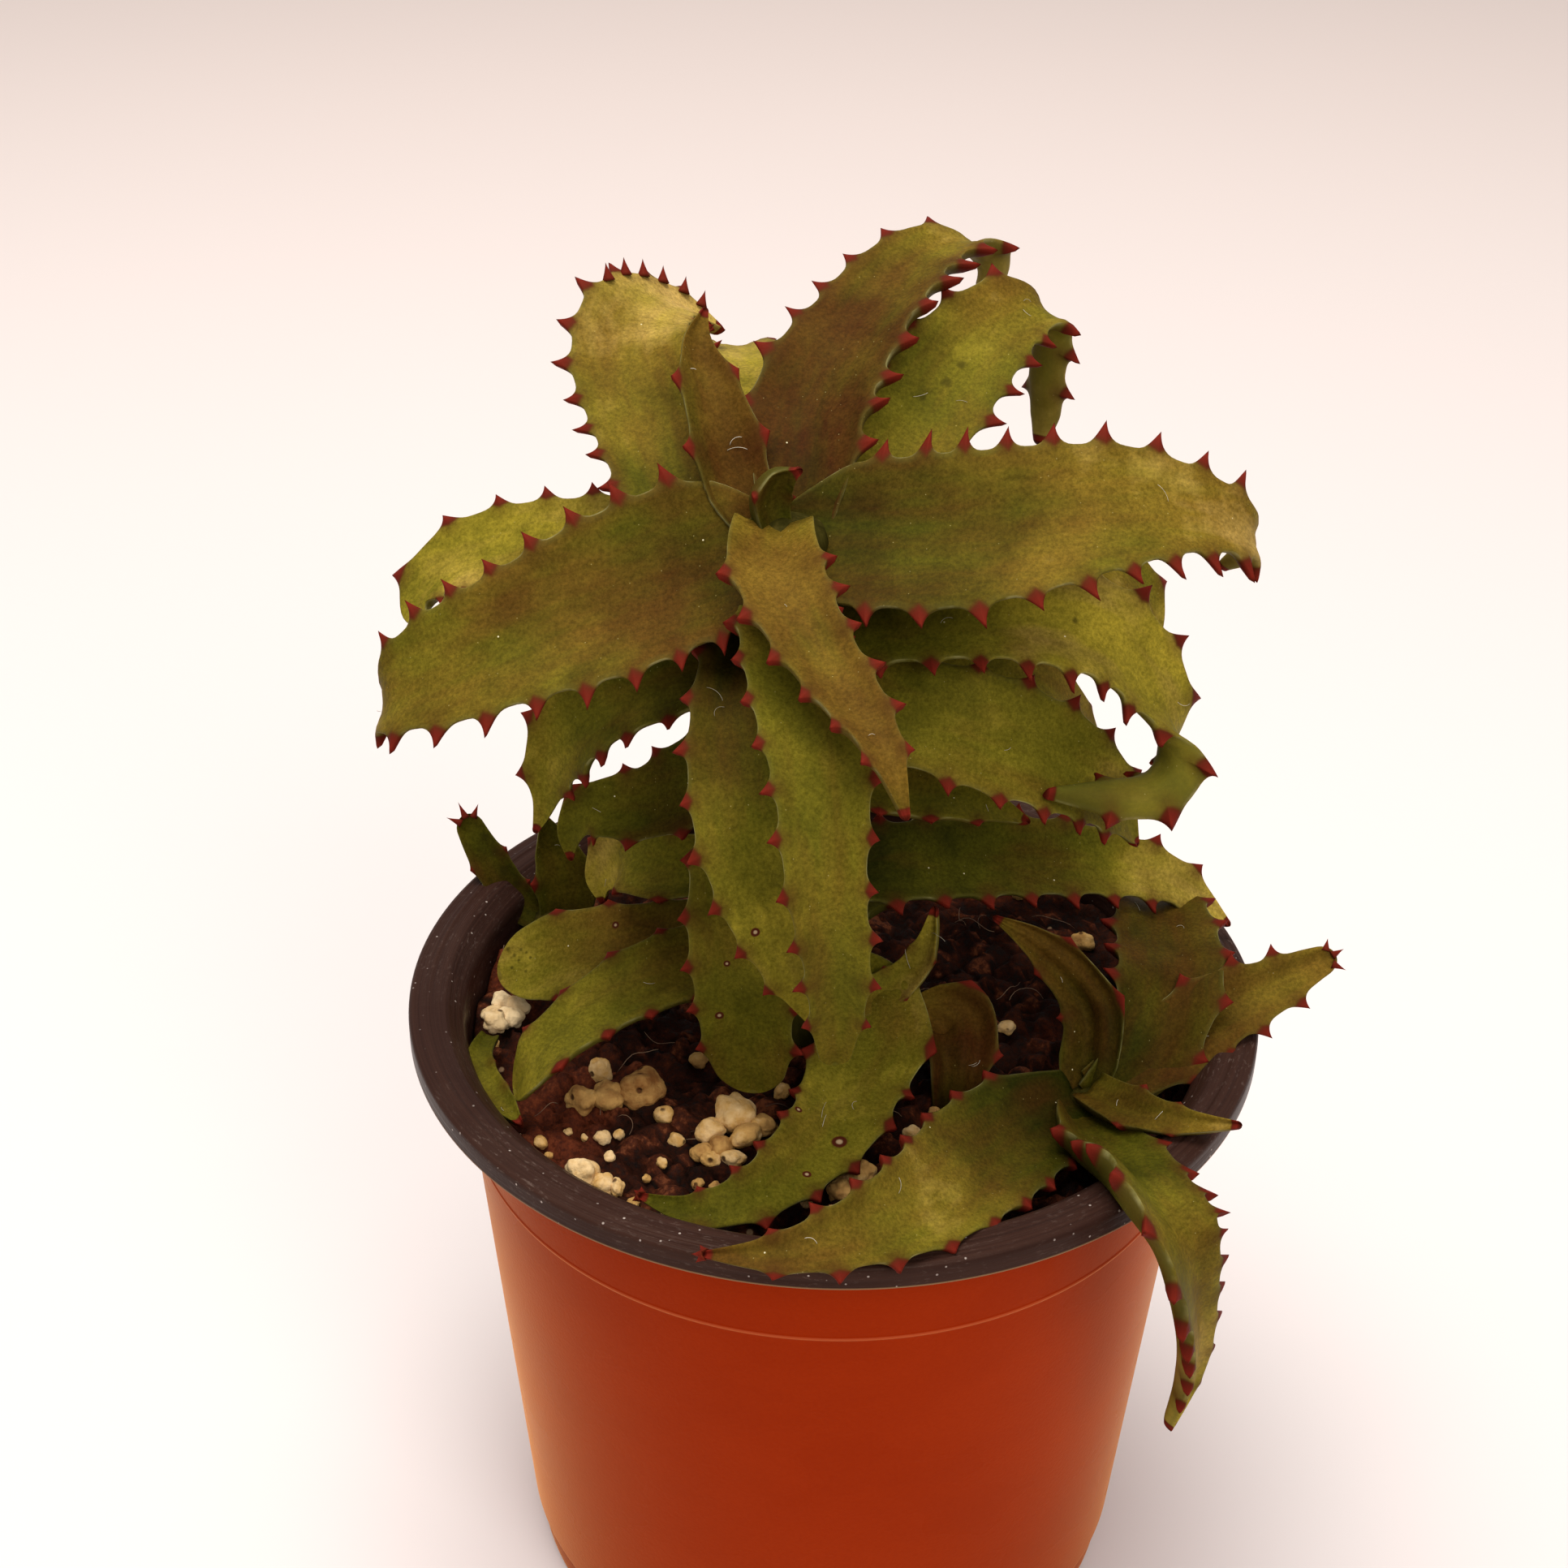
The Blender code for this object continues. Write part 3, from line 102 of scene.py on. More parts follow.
# Leaves, in the order of their numbers. Tint and shade: from dark green (0) to yellow (1) at the
# root, the middle and the tip, as the leaf's colour and also as painted shade, lower where a leaf
# lies in shade; then how bronze it is at the root and the tip. Channel: its depth as a part of the
# width. Route: (x, y, z, width). Looks: the way the upper face looks, evenly root to tip
Leaf = namedtuple("Leaf", "name pitch tooth channel tint route looks")
LEAVES = [Leaf(*row) for row in [
    ("leaf_01_left_broad", 5.4, 2.7, 0.07, (0.15, 0.45, 0.74, 0.75, 0.5),
     [(-7, -6, 155.5, 9), (-12.5, -9, 156.5, 17), (-17.5, -10, 155, 20), (-27.5, -12, 151, 20),
      (-36.5, -14, 147.5, 17), (-46.5, -15, 143, 14.5), (-53.5, -13, 138, 9), (-53, -6, 131.5, 1)],
     [(0.2, -0.6, 0.8), (0, -0.62, 0.78), (-0.2, -0.62, 0.75), (-0.8, -0.5, 0.4)]),
    ("leaf_02_right_broad", 5.5, 3, 0.06, (0, 0.56, 0.76, 0.4, 0.85),
     [(-7, -6, 156, 9), (0, -8, 158, 18), (10, -10, 159.5, 19.5), (21.5, -10, 161.5, 18),
      (32.5, -8, 162.5, 15), (42.5, -5, 160, 9.5), (48, -1, 155, 6), (45.5, 3, 149.5, 1)],
     [(0, -0.6, 0.8), (0, -0.62, 0.78), (0.1, -0.55, 0.8), (0.8, -0.4, 0.5)]),
    ("leaf_03_front_narrow", 5.2, 1.9, 0.13, (0.5, 0.46, 0.5, 0.95, 0.8),
     [(-8, -8, 160, 9), (-7.5, -18, 159.5, 10.5), (-4, -27, 156, 8.5), (1.5, -36, 152, 6.5),
      (5, -43, 149.5, 4), (7, -47, 145, 1)],
     [(0, -0.5, 0.85), (0.1, -0.6, 0.8), (0.35, -0.75, 0.5)]),
    ("leaf_04_young_dark", 6, 1.2, 0.2, (0, 0.25, 0.5, 1, 0.95),
     [(-8.5, -6.5, 157.5, 6), (-12, -3, 161, 8), (-13.5, 0, 165, 8.2), (-15, 3, 168.5, 7.5),
      (-16.5, 6.5, 171.5, 6), (-17.5, 10, 174, 3.5), (-17, 13, 176, 1)],
     [(0.3, -0.8, 0.5), (0.3, -0.8, 0.5), (0.4, -0.8, 0.4)]),
    ("leaf_05_up_left", 4.2, 2.4, 0.08, (0.2, 0.62, 1.15, 0.3, 0.75),
     [(-9.5, -5.5, 156, 8), (-18.5, 1, 160.5, 14.5), (-22.5, 9, 165, 15.5), (-25.5, 16, 169, 15.5),
      (-26, 24, 171.5, 13.5), (-23.5, 31, 171.5, 10.5), (-20, 36, 168.5, 6.5), (-16.5, 38, 165, 2)],
     [(0.1, -0.6, 0.8), (0, -0.75, 0.65), (0, -0.8, 0.5), (-0.1, -0.1, 1)]),
    ("leaf_06_up_right", 5.5, 2.6, 0.13, (0, 0.2, 0.9, 0.8, 0.6),
     [(-6, -6, 156.5, 8), (-5, 0, 163, 12), (-4, 8, 168.5, 15), (0, 16, 173.5, 13.5),
      (5, 25, 177, 12), (10.5, 33, 178.5, 9), (15, 37, 178, 6), (17.5, 39, 175.5, 5.5),
      (18, 39.5, 172.5, 4), (17, 39.5, 170, 2.5)],
     [(0, -0.7, 0.7), (-0.3, -0.75, 0.55), (-0.45, -0.7, 0.5), (-0.15, -0.35, 0.9),
      (0.4, 0.85, 0.1)]),
    ("leaf_07_right_back", 5.5, 2.3, 0.07, (0.58, 0.56, 0.76, 0.1, 0.5),
     [(-5, -5, 152, 8), (2, 1, 158.5, 11), (6, 6, 163, 13), (9.5, 11, 166, 13.5),
      (13, 16, 169.5, 13.5), (16.5, 20, 172, 12), (20.5, 24, 173.5, 9.5), (24.5, 27, 172.5, 7),
      (25.5, 28.5, 168.5, 5.5), (25, 28.5, 163.5, 5), (25, 28, 158, 4), (24.5, 27, 155, 2)],
     [(0, -0.7, 0.7), (0, -0.75, 0.6), (-0.1, -0.75, 0.6), (0, -0.7, 0.7), (0.6, 0.5, 0.3),
      (0.4, 0.9, 0)]),
    ("leaf_08_left_back", 5.3, 2.2, 0.08, (0.82, 0.74, 0.78, 0.05, 0.25),
     [(-7, -5, 149.5, 8), (-16, 3, 151.5, 9.5), (-24.5, 7, 151, 9), (-33.5, 10, 149, 9),
      (-43, 12, 146, 10.5), (-49, 12, 143.5, 10), (-52, 11, 141, 8), (-53, 9, 138.5, 4.5),
      (-51, 6, 137.5, 1)],
     [(0, -0.55, 0.8), (0, -0.55, 0.8), (-0.3, -0.5, 0.75), (-0.6, -0.4, 0.6)]),
    ("leaf_09_back", 6, 1.5, 0.1, (0.8, 0.8, 0.8, 0.3, 0.4),
     [(-7, -5, 153, 8), (-10, 10, 161, 9.5), (-12, 23, 164.5, 10.5), (-13.5, 35, 163.5, 10),
      (-15, 46, 159.5, 6), (-15, 53, 151.5, 1)],
     [(0, -0.6, 0.8), (0, -0.4, 0.9), (0, 0.3, 0.9)]),
    ("leaf_10_right_arch", 5.6, 2.6, 0.1, (0.22, 1, 0.46, 0, 0.1),
     [(-6, -5, 145, 8), (3.5, -8, 147.5, 11.5), (9.5, -9, 149, 12.5), (17, -9.5, 150, 13),
      (25.5, -9.5, 149, 13), (32.5, -9, 145.5, 11.5), (37, -9, 140.5, 10), (40, -10, 135.5, 8),
      (40.5, -12, 131, 7.5), (38, -14.5, 128.5, 7), (32, -16.5, 128.5, 5.5),
      (24.5, -17.5, 129.5, 1)],
     [(0, -0.6, 0.8), (0, -0.6, 0.8), (0.1, -0.6, 0.8), (0.5, -0.6, 0.6), (0.5, 0.3, -0.75),
      (0.1, 0.3, -1)]),
    ("leaf_11_right_second", 5.6, 1.8, 0.07, (0.35, 0.62, 0.7, 0.1, 0.3),
     [(-6, -5, 134.5, 8), (1.5, -11, 138, 11), (10, -14, 138, 13), (18.5, -15, 136, 14),
      (27.5, -13, 131, 12), (33.5, -10, 124.5, 8.5), (36.5, -8, 117.5, 1)],
     [(0, -0.6, 0.8), (0, -0.7, 0.7), (0.2, -0.7, 0.6), (0.8, -0.5, 0.3)]),
    ("leaf_12_front_centre", 5.6, 1.5, 0.09, (0.58, 0.55, 0.52, 0.15, 0.1),
     [(-7, -6, 150, 8), (-6.5, -16, 152, 10.5), (-5, -24, 150.5, 11.5), (-3, -32, 147, 11.5),
      (-1.5, -39, 141.5, 10), (-1, -44, 134.5, 8.6), (0.5, -45, 123, 7), (0.5, -44, 115.5, 5.6),
      (0.5, -42, 109, 3.4)],
     [(0, -0.4, 0.9), (0, -0.7, 0.7), (0, -0.95, 0.2), (0.1, -1, 0)]),
    ("leaf_13_front_left", 5.6, 1.6, 0.09, (-0.15, 0.44, 0.9, 0.1, 0.1),
     [(-6.5, -5, 143, 8), (-11, -14, 145, 9), (-12, -22, 142, 9.5), (-11.5, -28, 138, 10.5),
      (-10, -33, 132.5, 11), (-7, -36, 124.5, 10), (-4, -37, 116.5, 6.5), (-2, -36, 109.5, 1)],
     [(0, -0.4, 0.9), (-0.1, -0.8, 0.6), (-0.1, -0.95, 0.2), (0, -1, 0.1)]),
    ("leaf_14_front_low", 5.8, 1.4, 0.08, (0.5, 0.5, 0.5, 0, 0.1),
     [(-5, -3, 120, 8), (-10.5, -12, 122, 9.5), (-12, -18, 117.5, 10.5), (-11.5, -23, 111.5, 11.5),
      (-10.5, -25, 103.5, 11.5), (-10, -25, 96.5, 10.5), (-9.5, -24, 90.5, 7)],
     [(0, -0.5, 0.8), (-0.1, -0.9, 0.3), (-0.1, -1, -0.1)]),
    ("leaf_15_left_loop", 5.4, 1.8, 0.12, (0.3, 0.42, 0.75, 0.1, 0.2),
     [(-6, -5, 136, 8), (-14, -7, 140, 9.5), (-22.5, -7.5, 138, 10.5), (-29, -7, 134.5, 11),
      (-33.5, -6.5, 129, 10.5), (-35.5, -6, 123.5, 6.5), (-36, -6, 119.5, 3), (-37, -6, 116, 1)],
     [(0, -0.6, 0.8), (-0.1, -0.6, 0.8), (-0.5, -0.6, 0.5), (-0.3, -0.8, -0.3)]),
    ("leaf_16_left_lower", 5.2, 1.5, 0.1, (0.1, 0.22, 0.5, 0.1, 0.2),
     [(-5, -3, 126, 9), (-15, -5, 124.5, 11), (-19.5, -4.5, 121.5, 10.5), (-24, -3.5, 118.5, 9),
      (-29, -2.5, 117, 7.5), (-32, -2, 115.5, 5.5), (-33.5, -2, 112.5, 3.4), (-33.5, -2, 109.5, 1)],
     [(0, -0.6, 0.8), (-0.1, -0.7, 0.7), (-0.2, -0.8, 0.5)]),
    ("leaf_17_right_pale", 5, 1, 0.1, (0.5, 0.55, 0.6, 0.3, 0.4),
     [(-5, -4, 124, 6), (2.5, -6, 124, 6.5), (9.5, -7, 123.5, 7), (16.5, -7, 122.5, 6),
      (23, -6, 119, 1)],
     [(0, -0.5, 0.85), (0.2, -0.5, 0.8)]),
    ("leaf_18_right_back", 5.6, 2.1, 0.09, (0.4, 0.5, 0.7, 0.15, 0.5),
     [(-6, -3, 137.5, 8), (4, 6, 142, 10), (16, 13, 143, 13), (27.5, 19, 142, 11.5),
      (36, 23, 139, 9.5), (40.5, 24, 133.5, 6), (41, 22.5, 128, 1)],
     [(0, -0.5, 0.85), (0, -0.5, 0.85), (0.8, -0.3, 0.5)]),
    ("leaf_19_right_low", 5.8, 2, 0.09, (0, 0.28, 1.1, 0.1, 0.3),
     [(-4.5, -2, 108, 8), (5, -1, 109, 10.5), (15.5, 3, 107.5, 11), (27.5, 7, 105.5, 10.5),
      (38, 10, 102.5, 8.5), (46.5, 12, 98, 6), (52.5, 12, 92.5, 1)],
     [(0, -0.55, 0.83), (0, -0.55, 0.83), (0.1, -0.6, 0.8), (0.6, -0.5, 0.6)]),
    ("leaf_20_left_finger", 4.6, 0.9, 0.14, (0, 0.12, 0.4, 0, 0.2),
     [(-37.5, 19, 85, 4.5), (-43.5, 20, 87, 5.2), (-46.5, 21, 91, 5.2), (-49, 22.5, 94.5, 4.6),
      (-51, 24, 98, 3.6)],
     [(0.3, -0.9, 0.4), (0.3, -0.9, 0.4)]),
    ("leaf_21_left_upright", 5, 0.9, 0.12, (0.3, 0.3, 0.35, 0, 0.1),
     [(-38, 18.5, 83, 6), (-37, 19.5, 90, 8.5), (-38.5, 21, 95.5, 6), (-40, 22, 100, 1)],
     [(0.2, -0.9, 0.4), (0.2, -0.9, 0.4)]),
    ("leaf_22_left_hooked", 5.2, 0.8, 0.1, (0.2, 0.55, 1.1, 0.1, 0.1),
     [(-4.5, -1, 109, 7), (-16, 0, 107.5, 8), (-24, 2, 106, 9), (-28.5, 6, 104.5, 9),
      (-30.5, 8.5, 101, 7), (-31.5, 9.5, 97.5, 4), (-31, 9.5, 95, 1)],
     [(0, -0.6, 0.8), (-0.2, -0.6, 0.7), (-0.5, -0.8, 0.3)]),
    ("leaf_23_left_blunt", 6, 0.8, 0.05, (0.3, 0.52, 0.68, 0.35, 0.6),
     [(-4.5, -1, 103, 7), (-14.5, -2, 99.5, 8.5), (-21, -1, 96.5, 10.5), (-30, 0, 94, 12),
      (-38, 1.5, 91, 12), (-43.5, 1.5, 88.5, 8.5)],
     [(0, -0.6, 0.8), (0, -0.55, 0.83), (-0.3, -0.5, 0.8)]),
    ("leaf_24_left_arch", 6, 0.9, 0.04, (0.2, 0.5, 0.7, 0.15, 0.15),
     [(-4.5, -1, 96, 8), (-12.5, -6, 99, 10), (-18, -10, 99.5, 10.5), (-25, -14, 98.5, 10),
      (-32, -19, 96, 9.5), (-37, -22.5, 92.5, 8.5), (-39, -22, 88, 5)],
     [(0, -0.5, 0.85), (-0.3, -0.5, 0.8), (-0.8, -0.3, 0.4)]),
    ("leaf_25_rim_small", 5, 0.7, 0.1, (0.4, 0.4, 0.5, 0.1, 0.2),
     [(-44, -8.5, 86, 2.5), (-44.5, -14.5, 87, 3.4), (-42.5, -20, 87, 3.6), (-40, -24, 87, 3),
      (-38, -27, 87, 1)],
     [(0, -0.5, 0.8), (0, -0.5, 0.8)]),
    ("leaf_26_front_crescent", 5.8, 1.5, 0.06, (0.6, 0.72, 0.28, 0.2, 0),
     [(-4, -1, 91.5, 8), (3, -5, 92.5, 11), (6, -12.5, 91.5, 13), (3.5, -19, 90, 12.5),
      (1, -27, 89, 11), (-3, -34, 88.5, 9), (-8, -40.5, 88.5, 6.5), (-15, -43.5, 88, 4),
      (-21.5, -41, 87.5, 1)],
     [(0, -0.5, 0.85), (0, -0.5, 0.85), (0, -0.6, 0.8), (0, -0.6, 0.8)]),
    ("leaf_27_front_small", 4.6, 0.7, 0.1, (0.6, 0.7, 0.75, 0.3, 0.5),
     [(-4, -2, 96, 5), (3.5, -7.5, 93, 5.5), (7.5, -6, 93.5, 5), (11, -4.5, 97, 3.8),
      (12.5, -3, 103, 1)],
     [(0, -0.6, 0.8), (-0.3, -0.6, 0.7)]),
    ("leaf_28_front_folded", 4.6, 1.1, 0.16, (0.05, 0.1, 0.45, 0.35, 0.7),
     [(15.5, -17.5, 82, 5), (16, -16, 87, 7), (16.5, -13, 90.5, 9), (16, -10, 91.8, 9),
      (13, -8, 92, 6), (9.5, -6.5, 91, 1)],
     [(0.2, -0.9, 0.4), (0.1, -0.8, 0.6), (0, -0.5, 0.9)]),
    ("leaf_29_front_low", 6, 1.5, 0.09, (-0.25, 0.7, 0.22, 0, 0.9),
     [(31.5, -18, 86.5, 8), (24.5, -26.5, 89, 14), (18, -36, 91, 15), (10.5, -47.5, 93.5, 11.5),
      (2.5, -54, 94.2, 7.5), (-5, -57, 94, 4.5), (-13, -56, 92.5, 1)],
     [(0, -0.5, 0.85), (0, -0.6, 0.8), (0, -0.6, 0.8)]),
    ("leaf_30_pup_folded", 6, 1.1, 0.2, (0, 0.2, 0.48, 0.4, 0.9),
     [(31.5, -18, 86, 5), (32, -16, 89.5, 7.5), (32.5, -13, 94.5, 7.5), (29, -9, 99, 6),
      (24.5, -7.5, 102.5, 3.5), (20.5, -6.5, 104.5, 1)],
     [(-0.3, -0.8, 0.4), (-0.3, -0.8, 0.5), (-0.2, -0.7, 0.6)]),
    ("leaf_31_pup_pointed", 6, 0.9, 0.14, (0.3, 0.4, 0.6, 0.5, 0.9),
     [(32, -18, 88, 5), (36, -25, 90.5, 5.5), (41.5, -29.5, 92, 3.5), (48, -32, 93.5, 1)],
     [(0, -0.6, 0.8), (0, -0.6, 0.8)]),
    ("leaf_32_pup_over_rim", 5.2, 2.2, 0.18, (0.25, 0.45, 0.95, 0.3, 0.5),
     [(31.5, -18, 85.5, 6), (32, -26, 88.5, 8.5), (35.5, -35, 92, 10.5), (38.5, -44, 93.8, 11),
      (41, -49, 91.8, 10), (43, -50, 85.5, 9), (44.5, -47.5, 76, 7), (45, -44.5, 64.5, 5),
      (43, -43.5, 55.5, 1)],
     [(0.1, -0.3, 0.95), (0.3, -0.3, 0.9), (0.55, -0.4, 0.75), (0.75, -0.55, 0.4),
      (0.85, -0.5, 0.15), (0.85, -0.5, 0.1)]),
    ("leaf_33_pup_broad", 5.8, 1.9, 0.1, (0.12, 0.2, 0.45, 0.4, 0.8),
     [(33, -18, 85, 6), (39.5, -14, 90.5, 11), (42.5, -8, 96.5, 13.5), (43, 3, 97.5, 13),
      (43, 12, 96.5, 11), (43, 17, 93, 6), (42, 20, 87.5, 1)],
     [(0, -0.9, 0.4), (0, -0.9, 0.4), (0, -0.6, 0.8), (0, 0.5, 0.8)]),
    ("leaf_34_pup_out", 5, 1.8, 0.12, (0.1, 0.26, 0.74, 0.7, 1),
     [(33, -17.5, 86.5, 6), (42, -13, 90.5, 10), (49, -9, 93.5, 9.5), (55.5, -6, 95, 7),
      (60.5, -3, 96, 4.8), (63.5, -2, 97, 3.4)],
     [(0, -0.7, 0.7), (0, -0.7, 0.7), (0, -0.7, 0.7)]),
    ("leaf_35_back_right", 5.6, 1.8, 0.1, (0.4, 0.5, 0.6, 0.2, 0.7),
     [(-5, -3, 120, 8), (8, 8, 126, 10), (18, 15, 127, 11), (27, 20, 123.5, 10), (33, 24, 117, 7),
      (36, 27, 109, 1)],
     [(0, -0.4, 0.9), (0.1, -0.5, 0.8), (0.6, -0.1, 0.6)]),
    ("leaf_36_back_left", 7.5, 1.6, 0.1, (0.4, 0.55, 0.7, 0.1, 0.3),
     [(-6, -4, 122, 8), (-14, 12, 126, 11), (-20, 24, 125, 12), (-25, 34, 118, 9),
      (-28, 42, 105, 1)],
     [(0, -0.3, 1), (-0.3, 0.3, 0.9), (-0.5, 0.8, 0.3)]),
    ("leaf_37_back_low", 7.5, 1.6, 0.1, (0.35, 0.5, 0.6, 0.1, 0.2),
     [(-4.5, -1, 105, 8), (-4, 14, 109, 11), (-3, 27, 107, 11), (-1, 38, 100, 8), (0, 45, 91, 1)],
     [(0, -0.3, 1), (0, 0.3, 0.9), (0, 0.9, 0.4)]),
    ("leaf_38_back_low_right", 7.5, 1.6, 0.1, (0.35, 0.5, 0.6, 0.1, 0.2),
     [(-4, 0, 98, 8), (8, 13, 100.5, 10), (18, 23, 100, 10), (28, 31, 95.5, 7), (35, 35, 92, 1)],
     [(0, -0.3, 1), (0.3, 0.3, 0.9), (0.5, 0.6, 0.6)]),
    ("leaf_39_bud", 3.2, 1, 0.2, (0.1, 0.15, 0.2, 0.3, 0.4),
     [(-7.5, -8.5, 158.5, 4), (-8, -8, 161.5, 4.5), (-7, -8, 164, 3.2), (-5.5, -8, 165.2, 1)],
     [(0.5, -0.8, 0.4), (0.5, -0.8, 0.4)]),
]]

# Marks on the skin: leaf number, place along the leaf and aside from its middle, radius
SCARS = [
    (13, 44.7, 2.6, 0.48), (14, 36.5, 3.2, 0.5), (14, 29.3, 1.6, 0.38), (23, 25.7, 3.1, 0.45),
    (26, 35.1, -1.9, 0.85), (26, 34.6, 4.4, 0.45), (26, 41.8, -1.8, 0.5),
]
DOTS = [
    (23, 40.8, 3.2, 0.3), (23, 40.2, 2.1, 0.28), (23, 39.2, 2.6, 0.26), (23, 38.2, 1.1, 0.24),
    (23, 40.9, 0.6, 0.26), (23, 39.1, -0.6, 0.3), (23, 39.8, 1.3, 0.22), (23, 38.6, 2, 0.22),
    (20, 17.2, 1.2, 0.75), (20, 14.5, 1.3, 0.8), (20, 11.7, 0.9, 0.75), (20, 9, 1.6, 0.7),
    (6, 59.7, -1.1, 0.4), (6, 58.5, -2.1, 0.4), (7, 30.3, 0.2, 0.75), (7, 33.3, 0.5, 0.6),
    (7, 27, -1.2, 0.5), (10, 34.5, -0.3, 0.45),
]

# Depth of the lengthwise puckers of the folded and the drying leaves
PUCKERS = {24: 0.2, 26: 0.22, 28: 0.85, 29: 0.22, 30: 1.05, 31: 0.35, 32: 0.25, 33: 0.22, 34: 0.35}

# Thorns on the blunt tips, as (angle from the leaf's direction, height)
BLUNT_TIPS = {
    20: [(-0.75, 1.7), (0.0, 2.0), (0.8, 1.6)], 26: [(-0.8, 0.8), (0.3, 0.9), (1.1, 0.8)],
    28: [(-0.9, 0.9), (-0.1, 1.1), (0.8, 0.9)], 29: [(-0.7, 1.0), (0.0, 1.3), (0.9, 0.9)],
    34: [(-0.95, 1.2), (-0.1, 1.3), (0.85, 1.4)],
}
BLUNT_THORN_RADIUS = 0.60

# A crest of close thorns along the near margin of one leaf, as shares of its length
CREST_LEAF = 5
CREST_SHARES = [0.73, 0.775, 0.82, 0.865, 0.91, 0.95]
CREST_HEIGHT = 2.3
CREST_THORN_RADIUS = 0.85

# Pumice: clusters of grains as (x, y, radius), as in the solids, then loose small ones
PUMICE = {
    "pumice_left": [(-44.9, -0.4, 1.9), (-44, 2.2, 1.8), (-42.4, -1.4, 1.9), (-44.1, -3.2, 1.8),
        (-41.9, 1.5, 1.6)],
    "pumice_centre": [(-11.6, -21.9, 3.3), (-8.2, -23.8, 1.9), (-14.7, -24.6, 2.2),
        (-13, -27.4, 2.1), (-15.6, -28.2, 1.8), (-10.2, -26.2, 2.1), (-14.3, -29.6, 1.4),
        (-11.6, -29.4, 1.6)],
    "pumice_front_left": [(-31, -19.1, 2.1), (-27.9, -18.7, 2.2), (-23.8, -16.6, 3.2)],
    "pumice_rim_left": [(-29.6, -33.1, 2.2), (-27, -34.4, 1.8), (-25.3, -34.9, 1.2)],
    "pumice_front": [(3.5, -32, 2.5), (1.5, -30.5, 1.6), (1.6, -34.4, 2)],
}
PUMICE_SMALL = [
    (-20.8, -20.9, 1.6), (-35.4, -26.5, 1.1), (-27.9, -25.1, 1.1), (-26, -24.6, 0.8),
    (-21.9, -32.9, 0.7), (-23.2, -37.6, 1.2), (-19, -38.5, 1), (10.3, -23.1, 1.3), (13.2, -18.9, 1),
    (-17.1, -9.8, 1.4), (-6.1, -16.3, 1.4), (-34.2, -29.2, 0.6), (-32.4, -23.7, 0.6),
    (-30.3, -24.8, 0.6), (-15.6, -34, 0.9), (-13.6, -33.9, 0.8), (-26.7, -29.7, 1),
    (-29.6, -12.2, 2), (-44.6, -7.2, 1.5), (-18.8, -25.4, 1.1), (-6.2, -28.4, 0.9),
    (-20.2, -30.4, 0.8), (0.6, -38.6, 0.8), (-2.4, -36.2, 1), (22.9, -1.4, 1.2), (24, -38.6, 1),
    (34.5, 19.6, 1.7), (42.4, -17, 1.1), (-40, 9, 0.9), (5, -20, 0.8), (14, -14, 1),
    (36.5, -34, 0.8), (15, 34, 1.6), (-12, 38, 1.4), (-30, 30, 1.5), (40, 24, 1.2), (-3, 43, 1),
    (26, 30, 1.1), (-24, 36, 0.9), (-38, 20, 1.2),
]
# How pale the grains of a cluster are, from tan (0) to cream (1), with painted light and shade in
# it: paler for the cluster in the light, darker for those under the leaves; and how deep they sit
PUMICE_TONE_AND_PAINTED_LIGHT = {"pumice_left": 1.0, "pumice_centre": 0.38, "pumice_front_left": 0.25,
                 "pumice_rim_left": 0.6, "pumice_front": 0.35}
GRAIN_SINK = 0.35

# A lump of red loam on the soil at the left edge: place, height, and its spread squared
LOAM_LUMP = (-44.5, 10.5)
LOAM_HEIGHT = 1.6
LOAM_SPREAD = 14.0

# How many crumbs make the soil's surface, how many roots are tried on it, how many fibres lie on
# the leaves, and on how many of the leaves, counted from the first
SOIL_CRUMBS = 3400
ROOTS = 70
FIBRES = 46
LINTY_LEAVES = 34

# Lamps: name, place, target, width and watts, in metres
LAMPS = [
    ("lamp_above", (-0.14, 0.05, 1.10), (0.0, 0.0, 0.12), 0.85, 12.3),
    ("lamp_front", (0.40, -0.80, 0.80), (0.0, 0.0, 0.10), 0.60, 5.3),
]
LAMP_COLOUR = (1.0, 0.965, 0.92)
ROOM_COLOUR = (1.0, 0.97, 0.94, 1.0)
ROOM_STRENGTH = 0.53
FLOOR_REACH = 4000.0

# Camera: fitted to the pot's rim, ring and walls in the picture, in metres and pixels
CAMERA_PLACE = (0.0, -0.2590, 0.2766)
CAMERA_DOWN = math.radians(31.21)
CAMERA_TURN = math.radians(-1.48)
CAMERA_ROLL = math.radians(0.67)
SENSOR = 36.0
FOCAL_PIXELS = 3000.0
IMAGE_SIDE = 1932.0


# Surfaces

def stand(name, data):
    """An object of the scene for a mesh, a lamp or a camera."""
    made = bpy.data.objects.new(name, data)
    bpy.context.scene.collection.objects.link(made)
    return made


def put_mesh(name, points, faces, finish, smooth=True, **values):
    """A mesh object from an array of points in millimetres and arrays of faces of one size each.

    Each extra value is an array with one number a point, kept as a named attribute.
    """
    mesh = bpy.data.meshes.new(name)
    points = np.asarray(points, np.float64)
    mesh.vertices.add(len(points))
    mesh.vertices.foreach_set("co", (points * MM).astype(np.float32).ravel())
    corners = np.concatenate([np.asarray(f, np.int32).ravel() for f in faces])
    totals = np.concatenate([np.full(len(f), np.shape(f)[1], np.int32) for f in faces])
    starts = np.concatenate([[0], np.cumsum(totals)[:-1]]).astype(np.int32)
    mesh.loops.add(len(corners))
    mesh.loops.foreach_set("vertex_index", corners)
    mesh.polygons.add(len(totals))
    mesh.polygons.foreach_set("loop_start", starts)
    mesh.polygons.foreach_set("use_smooth", np.full(len(totals), smooth))
    mesh.update(calc_edges=True)
    for key, numbers in values.items():
        kept = mesh.attributes.new(key, "FLOAT", "POINT")
        kept.data.foreach_set("value", np.asarray(numbers, np.float32))
    mesh.materials.append(finish)
    return stand(name, mesh)


